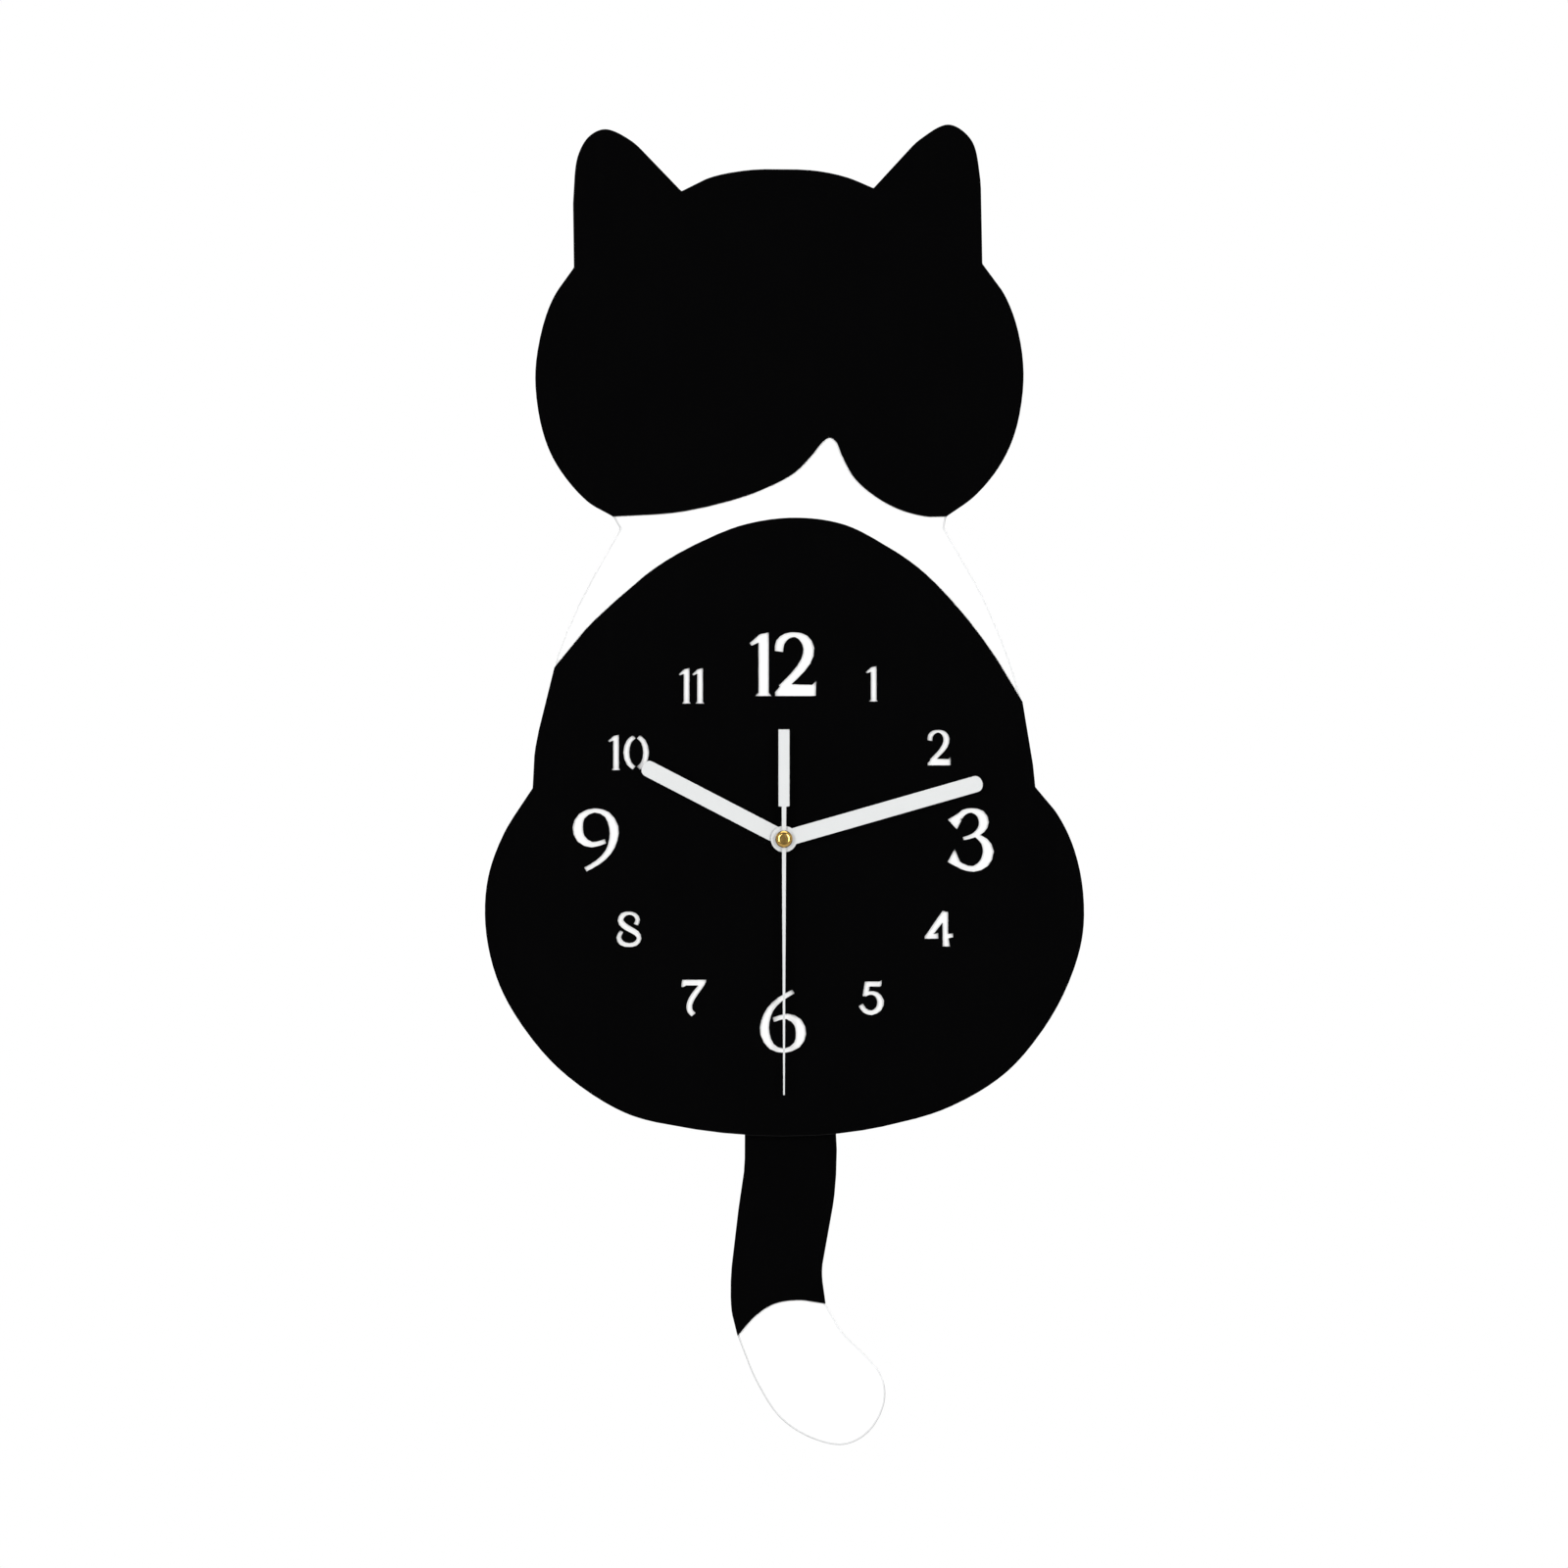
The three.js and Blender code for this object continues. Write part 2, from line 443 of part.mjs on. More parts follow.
function caseFront() {
  const shell = block(-CASE_HALF, CASE_HALF, -CASE_DEPTH, 0, -CASE_HALF, CASE_HALF);
  const bay = block(-INNER, INNER, FLOOR_Y, 1, -INNER, DIVIDER_BOTTOM);
  const works = block(-INNER, INNER, FLOOR_Y, 1, DIVIDER_TOP, INNER);
  const coverSeat = block(-CASE_HALF - 1, CASE_HALF + 1, -COVER - SEAT, 1, DIVIDER_BOTTOM - SEAT,
    CASE_HALF + 1);
  const contactNotches = [-1, 1].map((side) => throughWall(side, -1.5, 0.1, -5.6, 0, DIVIDER_TOP - 0.5, 1));
  const snapWindows = SNAPS.map(([side, z]) => throughWall(side, -0.3, 2, -5.2, -3.4, z, SNAP_HALF + GAP));
  const scoop = upright(0, SCOOP_Y, SCOOP, -CASE_HALF - 1, -INNER + 0.2);
  const tray = cut(shell, bay, works, coverSeat, scoop, ...contactNotches, ...snapWindows);
  const bushing = disc(HAND_AXIS, BUSHING_RADIUS, FLOOR_Y, -25, 24);
  const root = FLOOR_Y - 0.2;
  const posts = [
    ...BRIDGE_POSTS.map((at) => boss(at, POST, BRIDGE_LAYER[1] - 0.1, root)),
    ...BRIDGE_POSTS.map((at) => boss(at, PIN, BRIDGE_LAYER[0] + 0.2, root)),
    ...BOARD_POSTS.map((at) => boss(at, POST, -5.1, root)),
    boss(MOTION_AXIS, PIN, -11.4, root),
    boss(THIRD_AXIS, POST, -12, root),
    boss(KNOB_AXIS, 2.1, -13.3, root),
  ];
  return cut(joined(tray, bushing, ...posts), disc(HAND_AXIS, 2.8, FLOOR_Y + 1, -26, 24),
    boss(THIRD_AXIS, 0.75, -11, -13.4), boss(KNOB_AXIS, 1.3, -12.5, -14.6));
}
addPart('case_front', caseFront(), BLACK_PLASTIC);

// Marks moulded into the rear face of a cover.
function minusMark(x, z) {
  return block(x - 1.7, x + 1.7, -ENGRAVED, 1, z - 0.35, z + 0.35);
}
function plusMark(x, z) {
  return joined(minusMark(x, z), block(x - 0.35, x + 0.35, -ENGRAVED, 1, z - 1.7, z + 1.7));
}
function curvedArrow(at, radius, from, to) {
  const steps = 8;
  const outer = [];
  const inner = [];
  for (let i = 0; i <= steps; i += 1) {
    const angle = from + (to - from) * i / steps;
    outer.push(polar(at, radius + 0.3, angle));
    inner.unshift(polar(at, radius - 0.3, angle));
  }
  const head = [polar(at, radius + 1.2, to), polar(at, radius, to + 14), polar(at, radius - 1.2, to)];
  return joined(plate([...outer, ...inner], 1, -ENGRAVED), plate(head, 1, -ENGRAVED));
}

const KNOB_RECESS_FLOOR = -2.6;
const ARROW_RADIUS = 8.6;
function caseBack() {
  const cover = block(-CASE_HALF, CASE_HALF, -COVER, 0, DIVIDER_TOP - 0.8, CASE_HALF);
  const bearings = [HAND_AXIS, THIRD_AXIS, FIFTH_AXIS, ROTOR_AXIS];
  const well = disc(KNOB_AXIS, 7.2, -COVER / 2, KNOB_RECESS_FLOOR - 1, 24);
  const hooks = SNAPS.flatMap(([side, z]) => [
    throughWall(side, -1.1, -0.3, -4.9, -COVER / 2, z, SNAP_HALF),
    throughWall(side, -0.6, 0.8, -4.9, -3.7, z, SNAP_HALF),
  ]);
  const marks = [
    plusMark(22, -7.5),
    minusMark(-22, -7.5),
    curvedArrow(KNOB_AXIS, ARROW_RADIUS, 40, 130),
    curvedArrow(KNOB_AXIS, ARROW_RADIUS, 220, 310),
    block(-24, -1, -ENGRAVED, 1, 13, 24.5),
  ];
  return cut(joined(cover, well, ...hooks, ...bearings.map((at) => boss(at, POST, -COVER / 2, -3.4))),
    disc(KNOB_AXIS, 6.4, 1, KNOB_RECESS_FLOOR, 24), boss(KNOB_AXIS, 1.4, -2, -4.5), ...marks,
    ...bearings.map((at) => boss(at, BEARING, -0.8, -4.5)));
}
addPart('case_back', caseBack(), BLACK_PLASTIC);

const bridgeOutline = [[-15.6, -4], [-6, -8.5], [3, -10.1], [7.4, -10.1], [8.6, 8.6], [14.4, 11.6],
  [14.4, 16.4], [9.6, 16.4], [0, 14.6], [-15.6, 14.6]];
addPart('train_bridge', cut(plate(bridgeOutline, ...BRIDGE_LAYER),
  ...[HAND_AXIS, THIRD_AXIS, FIFTH_AXIS, ROTOR_AXIS].map((at) => boss(at, BEARING, -8, -11)),
  ...BRIDGE_POSTS.map((at) => boss(at, 0.9, -8, -11))), BLACK_PLASTIC);

// ---------- wheel train ----------
const ARBOR_REAR = -1.2;
const arbor = (at, front) => boss(at, ARBOR, ARBOR_REAR, front);
addPart('hour_wheel', cut(joined(gear(hourGear, ...HOUR_LAYER), disc(HAND_AXIS, 2.5, -13.8, -27.2, 20)),
  disc(HAND_AXIS, 1.8, -13, -28, 16)), GEAR_PLASTIC);
addPart('cannon_pinion', cut(joined(gear(cannonGear, ...MOTION_LAYER),
  disc(HAND_AXIS, 1.5, CENTRE_LAYER[0], -29.2, 16)), boss(HAND_AXIS, 0.8, -9, -30)), BRASS);
addPart('centre_wheel', cut(gear(centreGear, ...CENTRE_LAYER), disc(HAND_AXIS, 1.8, -9, -12, 16)), BRASS);
addPart('motion_wheel', cut(joined(gear(motionWheelGear, ...MOTION_LAYER),
  gear(motionPinionGear, MOTION_LAYER[1] + 0.1, HOUR_LAYER[1])), boss(MOTION_AXIS, 0.9, -11, -15)),
  GEAR_PLASTIC);
addPart('third_wheel', joined(gear(thirdPinionGear, ...CENTRE_LAYER), gear(thirdWheelGear, ...THIRD_LAYER),
  arbor(THIRD_AXIS, -13)), GEAR_PLASTIC);
addPart('second_wheel', joined(gear(secondPinionGear, ...THIRD_LAYER), gear(secondWheelGear, ...SECOND_LAYER),
  boss(HAND_AXIS, 0.5, ARBOR_REAR, -31)), GEAR_PLASTIC);
addPart('fifth_wheel', joined(gear(fifthPinionGear, ...SECOND_LAYER), gear(fifthWheelGear, ...FIFTH_LAYER),
  arbor(FIFTH_AXIS, -9.5)), GEAR_PLASTIC);
addPart('rotor_pinion', joined(gear(rotorPinionGear, ...FIFTH_LAYER), arbor(ROTOR_AXIS, -9.5)), GEAR_PLASTIC);
addPart('rotor_magnet', cut(disc(ROTOR_AXIS, 3, -5.6, -7.4, 20), boss(ROTOR_AXIS, 0.75, -5, -8)), STEEL);

// A fluted rim round a sunk ring, with a raised middle for the thumb.
function settingKnob() {
  const grips = [];
  const ridges = 18;
  for (let i = 0; i < ridges; i += 1) {
    grips.push(polar(KNOB_AXIS, 5.5, i * 360 / ridges), polar(KNOB_AXIS, 5, (i + 0.5) * 360 / ridges));
  }
  const recess = turned(KNOB_AXIS, [[1.8, -1.2], [4, -1.2], [4, 0], [1.8, 0], [1.8, -1.2]], 24);
  return joined(cut(plate(grips, -0.4, -2.2), recess), boss(KNOB_AXIS, 1, -1, -14.2),
    gear(knobGear, ...MOTION_LAYER));
}
addPart('setting_knob', settingKnob(), GEAR_PLASTIC);

// ---------- stepping motor ----------
const COIL_X = -21.5;
const COIL_Y = -5.5;
const STATOR_LAYER = [-6.1, -6.9];
function stator() {
  const hub = [];
  for (let angle = 45; angle >= -75; angle -= 20) {
    hub.push(polar(ROTOR_AXIS, 4.4, angle));
  }
  const shape = [[-23.2, 18.5], [-23.2, 21.4], [-19.6, 21.4], [-16.5, 18.6], [-11, 8], ...hub, [-11.4, -6.2],
    [-15.5, -9.2], [-23.2, -9.2], [-23.2, -6.6], [-17.4, -6.6], [-16.6, -1], [-17.2, 6], [-17.4, 18.5]];
  return cut(plate(shape, ...STATOR_LAYER), disc(ROTOR_AXIS, 3.6, -5, -8, 24));
}
addPart('stator', stator(), STEEL);

const atCoil = (half, halfDepth, z0, z1) => block(COIL_X - half, COIL_X + half, COIL_Y - halfDepth,
  COIL_Y + halfDepth, z0, z1);
addPart('coil_core', atCoil(1, 0.5, -9.2, 21.4), STEEL);
addPart('coil_bobbin', cut(joined(upright(COIL_X, COIL_Y, 1.9, -6, 18, 16), atCoil(3.4, 3.4, -6, -5),
  atCoil(3.4, 3.4, 17, 18)), atCoil(1.3, 0.8, -7, 19)), BLACK_PLASTIC);
addPart('coil_winding', cut(upright(COIL_X, COIL_Y, 3.2, -4.7, 16.7, 24),
  upright(COIL_X, COIL_Y, 2.2, -6, 18, 16)), COPPER);

// ---------- circuit board ----------
const BOARD_FACES = [-5, -4.2];
const circuitOutline = [[3, 12.4], [21, 12.4], [21, -9], [25.3, -9], [25.3, 26], [3, 26]];
// A drop of black resin over the chip, on a board whose front face is at the given depth.
function resinBlob(at, face) {
  const dome = [[0, 1.1], [1.3, 1], [2.2, 0.6], [2.4, 0], [0, 0]];
  return turned(at, dome.map(([r, height]) => [r, face - 0.1 - height]), 16);
}
addPart('circuit_board', plate(circuitOutline, BOARD_FACES[1], BOARD_FACES[0]), BOARD_GREEN);
addPart('ic_blob', resinBlob([9, 16.5], BOARD_FACES[0]), BLACK_PLASTIC);
addPart('quartz_crystal', level(12, 18, -3.1, 21, 0.9, 14), STEEL);

// ---------- AA cells and their contacts ----------
// A cell standing on its negative end at height 0.
function cell() {
  const profile = [[0, 0], [6.7, 0], [CELL_RADIUS, 0.5], [CELL_RADIUS, CELL_BODY - 0.5],
    [6.6, CELL_BODY], [2.75, CELL_BODY], [2.6, CELL_LENGTH], [0, CELL_LENGTH]];
  return new THREE.LatheGeometry(profile.map(([r, h]) => new THREE.Vector2(r, h)), 20);
}
const CELL_FOOT = -24.6;        // negative end, measured from the middle of the bay
const timeCell = cell();
timeCell.rotateZ(-Math.PI / 2);
timeCell.translate(CELL_FOOT, CELL_Y, TIME_CELL_Z);
addPart('time_battery', solid(timeCell), CELL_SKIN);
const driveCell = cell();
driveCell.rotateX(Math.PI / 2);
driveCell.translate(DRIVE_CELL_X, CELL_Y, DRIVE_MID_Z + CELL_FOOT);
addPart('drive_battery', solid(driveCell), CELL_SKIN, { parent: drive });

// A leaf of sheet bent into a shallow V that presses on the cell's negative end; [along, across].
const LEAF = [[-26.3, -5], [-25, -0.4], [-25, 0.4], [-26.3, 5], [-26.6, 5], [-25.4, 0], [-26.6, -5]];
const SHEET = 0.4;
const CONTACT_END = 26.6;       // outer face of the contacts, from the middle of the bay
function timeContactMinus() {
  const wall = -CONTACT_END;
  const rail = DIVIDER_TOP + 0.3;
  return joined(plate(LEAF.map(([x, z]) => [x, TIME_CELL_Z + z]), -4, -11),
    block(wall, wall + SHEET, -11, -3.2, TIME_CELL_Z + 4, TIME_CELL_Z + 6.5),
    block(wall, wall + SHEET, -11, -4, TIME_CELL_Z - 6.5, TIME_CELL_Z - 4.7),
    block(wall, wall + SHEET, -5, -3.2, TIME_CELL_Z + 5, rail + 0.3),
    block(wall, 24, -5, -3.2, rail, rail + SHEET),
    block(21.6, 24, -4.1, -4.1 + SHEET, rail, -6.6));
}
function timeContactPlus() {
  const wall = CONTACT_END - SHEET;
  return joined(block(wall, CONTACT_END, -12, -3.2, TIME_CELL_Z - 5, TIME_CELL_Z + 5),
    block(wall, CONTACT_END, -5.2, -3.2, TIME_CELL_Z + 4, -6.6),
    block(24.6, CONTACT_END, -4.1, -4.1 + SHEET, -8.8, -6.6));
}
addPart('battery_contact_minus', timeContactMinus(), STEEL);
addPart('battery_contact_plus', timeContactPlus(), STEEL);

// ---------- hands ----------
// A flat bar hand with a rounded tip and a round middle, pointing up.
function barHand(length, rear, front, bore) {
  const half = HAND_WIDTH / 2;
  const tipLength = 2.6;
  const points = [[-half, 0], [half, 0]];
  for (let angle = 0; angle <= 180; angle += 20) {
    points.push([half * Math.cos(radians(angle)), length - tipLength + tipLength * Math.sin(radians(angle))]);
  }
  return cut(joined(plate(points, rear, front), disc(HAND_AXIS, HUB_RADIUS, rear, front, 32)),
    disc(HAND_AXIS, bore, rear + 1, front - 1, 20));
}
// The second hand, with its needle down and its broad tail up.
function secondHand() {
  const needle = [[-0.9, 12.7], [-0.8, -2], [-0.3, -SECOND_LENGTH], [0.3, -SECOND_LENGTH], [0.8, -2],
    [0.9, 12.7], [2.15, 12.9], [2.15, 43], [-2.15, 43], [-2.15, 12.9]];
  return cut(joined(plate(needle, -30.4, -30.8), disc(HAND_AXIS, 2.9, -30.2, -30.9, 24)),
    boss(HAND_AXIS, 0.8, -30, -32));
}
const brassCap = [[0, -33.2], [1.2, -33.1], [2.3, -32.8], [3.1, -32.3], [3.4, -31.7], [3.2, -31.3],
  [0, -31.3]];
addPart('hour_hand', barHand(HOUR_LENGTH, -26.4, -27, 2.8), PAINTED_WHITE, { turn: HOUR_ANGLE });
addPart('minute_hand', barHand(MINUTE_LENGTH, -28.3, -28.9, 1.8), PAINTED_WHITE, { turn: MINUTE_ANGLE });
addPart('second_hand', secondHand(), PAINTED_WHITE, { turn: SECOND_ANGLE - 180 });
addPart('second_hand_boss', turned(HAND_AXIS, brassCap, 24), BRASS);

// ---------- tail drive case; x is measured from the middle of the drive ----------
const inDrive = { parent: drive };
const DRIVE_WALL_X = 11.3;      // the wall between the pendulum and the cell
const PIVOT = [0, PIVOT_Z];
const PIVOT_POST = 2.2;
const PIVOT_BORE = 1.3;
const COIL_AT = [0, MAGNET_Z];
const SCREWS = [[-9, -40.2], [9, -40.2], [-13.4, -87.2]];
const SCREW_HEAD = 1.8;
const SCREW_SHANK = 0.9;
const DRIVE_BOARD_POSTS = [[-21, -46], [-21, -82]];
function driveCaseFront() {
  const [low, high] = [DRIVE_BOTTOM + CASE_WALL, DRIVE_TOP - CASE_WALL];
  const shell = block(-CASE_HALF, CASE_HALF, -CASE_DEPTH, 0, DRIVE_BOTTOM, DRIVE_TOP);
  const works = block(-INNER, DRIVE_WALL_X, FLOOR_Y, 1, low, high);
  const bay = block(DRIVE_WALL_X + 0.8, INNER, FLOOR_Y, 1, low, high);
  const coverSeat = block(-CASE_HALF - 1, DRIVE_WALL_X + 0.9, -COVER - SEAT, 1, DRIVE_BOTTOM - 1,
    DRIVE_TOP + 1);
  const armSlot = block(-DRIVE_WALL_X, DRIVE_WALL_X, -12, -8, DRIVE_BOTTOM - 1, low + 1);
  const notches = [high - 0.9, low - 0.1].map((z) => block(DRIVE_WALL_X - 0.5, DRIVE_WALL_X + 1.3, -5, 0,
    z, z + 1));
  const scoop = level(INNER - 0.2, CASE_HALF + 1, SCOOP_Y, DRIVE_MID_Z, SCOOP);
  const root = FLOOR_Y - 0.2;
  const posts = [
    boss(PIVOT, PIVOT_POST, -12, root),
    disc(COIL_AT, 1.9, -12, root, 14),
    ...SCREWS.map((at) => boss(at, SCREW_HEAD, -COVER - 0.2, root)),
    ...DRIVE_BOARD_POSTS.map((at) => boss(at, POST, -4.7, root)),
  ];
  return cut(joined(cut(shell, works, bay, coverSeat, armSlot, scoop, ...notches), ...posts),
    boss(PIVOT, PIVOT_BORE, -11, -14.6), ...SCREWS.map((at) => boss(at, SCREW_SHANK + GAP, 0, -8)));
}
function driveCaseBack() {
  const cover = block(-CASE_HALF, DRIVE_WALL_X + 0.6, -COVER, 0, DRIVE_BOTTOM, DRIVE_TOP);
  const marks = [plusMark(8.6, -46.5), minusMark(8.6, -86.5), block(-24, 4, -ENGRAVED, 1, -82, -70.5)];
  return cut(joined(cover, boss(PIVOT, PIVOT_POST, -COVER / 2, -8)), boss(PIVOT, PIVOT_BORE, -1.2, -9),
    ...SCREWS.map((at) => boss(at, SCREW_SHANK + 0.4, 1, -2)),
    ...SCREWS.map((at) => boss(at, SCREW_HEAD + GAP, 1, -0.8)), ...marks);
}
function caseScrew([x, z]) {
  const crossSlot = [[0.95, 0.3], [0.3, 0.95]].map(([across, up]) => block(x - across, x + across, -0.5, 1,
    z - up, z + up));
  return cut(joined(boss([x, z], SCREW_HEAD, -0.1, -0.7), boss([x, z], SCREW_SHANK, -0.5, -7)), ...crossSlot);
}
addPart('drive_case_front', driveCaseFront(), BLACK_PLASTIC, inDrive);
addPart('drive_case_back', driveCaseBack(), BLACK_PLASTIC, inDrive);
SCREWS.forEach((at, i) => addPart(`drive_case_screw_${i + 1}`, caseScrew(at), STEEL, inDrive));

const PAD_X = 20;
const PAD_HALF = 6;
[['left', -PAD_X], ['right', PAD_X]].forEach(([side, x]) => {
  addPart(`foam_pad_${side}`, block(x - PAD_HALF, x + PAD_HALF, -18, -16.1, DRIVE_BOTTOM + 6, DRIVE_TOP - 6),
    FOAM, inDrive);
});

// ---------- tail drive electrics ----------
const DRIVE_BOARD = [-3.8, -4.6];
const DRIVE_BOARD_LEFT = -26;
const driveBoardOutline = [[DRIVE_BOARD_LEFT, -88], [-16.5, -88], [-16.5, -40.4], [DRIVE_BOARD_LEFT, -40.4]];
const TRACK = [-4.6, -2.9];     // depth of the strips that lead from the cell to the board
addPart('drive_coil', cut(disc(COIL_AT, 6, -11.7, -14.6, 28), disc(COIL_AT, 2.2, -11, -15, 16)), COPPER,
  inDrive);
addPart('drive_board', plate(driveBoardOutline, ...DRIVE_BOARD), BOARD_GREEN, inDrive);
addPart('drive_ic_blob', resinBlob([-21, -64], DRIVE_BOARD[1]), BLACK_PLASTIC, inDrive);
function driveContactPlus() {
  const top = DRIVE_MID_Z + CONTACT_END;
  return joined(block(DRIVE_CELL_X - 5, DRIVE_CELL_X + 5, -12, TRACK[1], top - SHEET, top),
    block(DRIVE_BOARD_LEFT, DRIVE_CELL_X, ...TRACK, top - SHEET, top),
    block(DRIVE_BOARD_LEFT, -23.6, -3.6, -3.6 + SHEET, -42.6, top));
}
function driveContactMinus() {
  const bottom = DRIVE_MID_Z - CONTACT_END;
  const leaf = LEAF.map(([along, across]) => [DRIVE_CELL_X + across, DRIVE_MID_Z + along]);
  return joined(plate(leaf, -4, -11),
    block(DRIVE_CELL_X + 4.7, DRIVE_CELL_X + 6.4, -11, -4, bottom, bottom + SHEET),
    block(DRIVE_CELL_X - 6.4, DRIVE_CELL_X - 4, -11, TRACK[1], bottom, bottom + SHEET),
    block(DRIVE_BOARD_LEFT, DRIVE_CELL_X - 5, ...TRACK, bottom, bottom + SHEET),
    block(DRIVE_BOARD_LEFT, -23.6, -3.6, -3.6 + SHEET, bottom, -85.6));
}
addPart('drive_contact_plus', driveContactPlus(), STEEL, inDrive);
addPart('drive_contact_minus', driveContactMinus(), STEEL, inDrive);

// ---------- pendulum: pin, swing arm, magnet and tail ----------
const ARM = [-9, -11];          // rear and front faces of the swing arm
const ARM_HALF = 2.6;
const ARM_BOSS = 4;
const MAGNET_RADIUS = 3;
const PADDLE_HALF = 8;          // the broad foot that the tail is stuck to
const PADDLE_TOP = -97;
const PADDLE_BOTTOM = -114;
function swingArm() {
  const bar = block(-ARM_HALF, ARM_HALF, ARM[1], ARM[0], PADDLE_TOP - 3, PIVOT_Z);
  const paddle = block(-PADDLE_HALF, PADDLE_HALF, ARM[1], ARM[0], PADDLE_BOTTOM, PADDLE_TOP);
  const pivotBoss = disc(PIVOT, ARM_BOSS, ARM[0] + 0.6, ARM[1] - 0.6);
  return cut(joined(bar, paddle, pivotBoss, disc(COIL_AT, 4.8, ...ARM)), boss(PIVOT, PIVOT_BORE, -7, -13),
    disc(COIL_AT, MAGNET_RADIUS + GAP, -8, -12));
}
addPart('pivot_pin', boss(PIVOT, 1, -1.6, -14.3), STEEL, inDrive);
addPart('swing_arm', swingArm(), BLACK_PLASTIC, inDrive);
addPart('arm_magnet', disc(COIL_AT, MAGNET_RADIUS, ...ARM), STEEL, inDrive);
addPart('tail_adhesive_pad', block(0.5 - PADDLE_HALF, PADDLE_HALF - 0.5, ARM[1] - 1.1, ARM[1] - 0.1,
  PADDLE_BOTTOM + 0.5, PADDLE_TOP - 0.5), FOAM, inDrive);

const TAIL_REAR = -12.2;
const TAIL_OVERLAY_REAR = -14.35;
const tailLeft = smooth([[-18.3, -195.7], [-20.6, -186], [-21, -175], [-20, -162], [-18, -146], [-15.8, -131],
  [-15.4, -118], [-16, -98]]);
const tailRight = smooth([[19.6, -98], [20.8, -122], [19.9, -140], [17.4, -155], [15, -170], [16.4, -183]]);
const tailTip = smooth([[16.4, -183], [22.9, -194.1], [32, -203.2], [38.6, -211.6], [39.6, -222],
  [33.6, -233.4], [24, -238.6], [12, -236.6], [-1, -228.6], [-10.6, -214.4], [-18.3, -195.7]]);
const tailBand = smooth([[16.4, -183], [6, -181.6], [-3.6, -183], [-11, -187.6], [-18.3, -195.7]]);
addPart('tail_plate', plate(outline(tailLeft, tailRight, tailTip), TAIL_REAR, TAIL_REAR - PLATE_THICK),
  WHITE_ACRYLIC);
addPart('tail_overlay', plate(outline(tailLeft, tailRight, tailBand), TAIL_OVERLAY_REAR,
  TAIL_OVERLAY_REAR - OVERLAY_THICK), BLACK_ACRYLIC);

export default group;
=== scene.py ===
"""Cat tail clock: looks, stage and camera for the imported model. Metres; +Z up, the dial faces -Y."""
import json
import math

import bmesh
import bpy
from mathutils import Matrix, Vector


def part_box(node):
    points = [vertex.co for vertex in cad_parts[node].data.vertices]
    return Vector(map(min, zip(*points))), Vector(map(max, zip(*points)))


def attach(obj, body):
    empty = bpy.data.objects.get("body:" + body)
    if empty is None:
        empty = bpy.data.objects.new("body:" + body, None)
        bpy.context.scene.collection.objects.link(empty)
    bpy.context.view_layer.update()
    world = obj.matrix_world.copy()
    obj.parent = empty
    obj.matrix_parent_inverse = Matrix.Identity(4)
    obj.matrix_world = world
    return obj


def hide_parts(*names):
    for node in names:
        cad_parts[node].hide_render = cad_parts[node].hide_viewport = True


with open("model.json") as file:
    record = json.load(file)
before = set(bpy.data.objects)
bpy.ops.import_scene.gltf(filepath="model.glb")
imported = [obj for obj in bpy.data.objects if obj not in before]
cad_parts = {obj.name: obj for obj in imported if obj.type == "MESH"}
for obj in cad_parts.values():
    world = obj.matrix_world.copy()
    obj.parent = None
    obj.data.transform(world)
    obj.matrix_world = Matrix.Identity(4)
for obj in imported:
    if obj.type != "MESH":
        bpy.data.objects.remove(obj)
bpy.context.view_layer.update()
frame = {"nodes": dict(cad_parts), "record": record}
NODES = frame["nodes"]

# ---------- sizes and directions ----------
MM = 0.001
FRONT = Vector((0, -1, 0))
BACK = Vector((0, 1, 0))
RIGHT = Vector((1, 0, 0))
UP = Vector((0, 0, 1))


def middle(node):
    low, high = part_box(node)
    return (low + high) / 2


AXIS = middle("second_hand_boss")
DIAL_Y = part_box("back_overlay")[0].y
WELD_REACH = 0.001 * MM      # corners of the carried-over triangles nearer than this are one corner
FLAT_ANGLE = 0.2             # degrees between triangles that belong to one flat face
SHARP_ANGLE = 28             # degrees at which a CAD edge without a bevel stays sharp
BEVEL_ANGLE = 30             # degrees at which an edge is bevelled
BEVEL_SEGMENTS = 2
RING_PHASE = 42000.0         # radians per metre of radius: turned rings 0.15 mm apart
WIRE_PHASE = 12000.0         # radians per metre: wires 0.26 mm apart


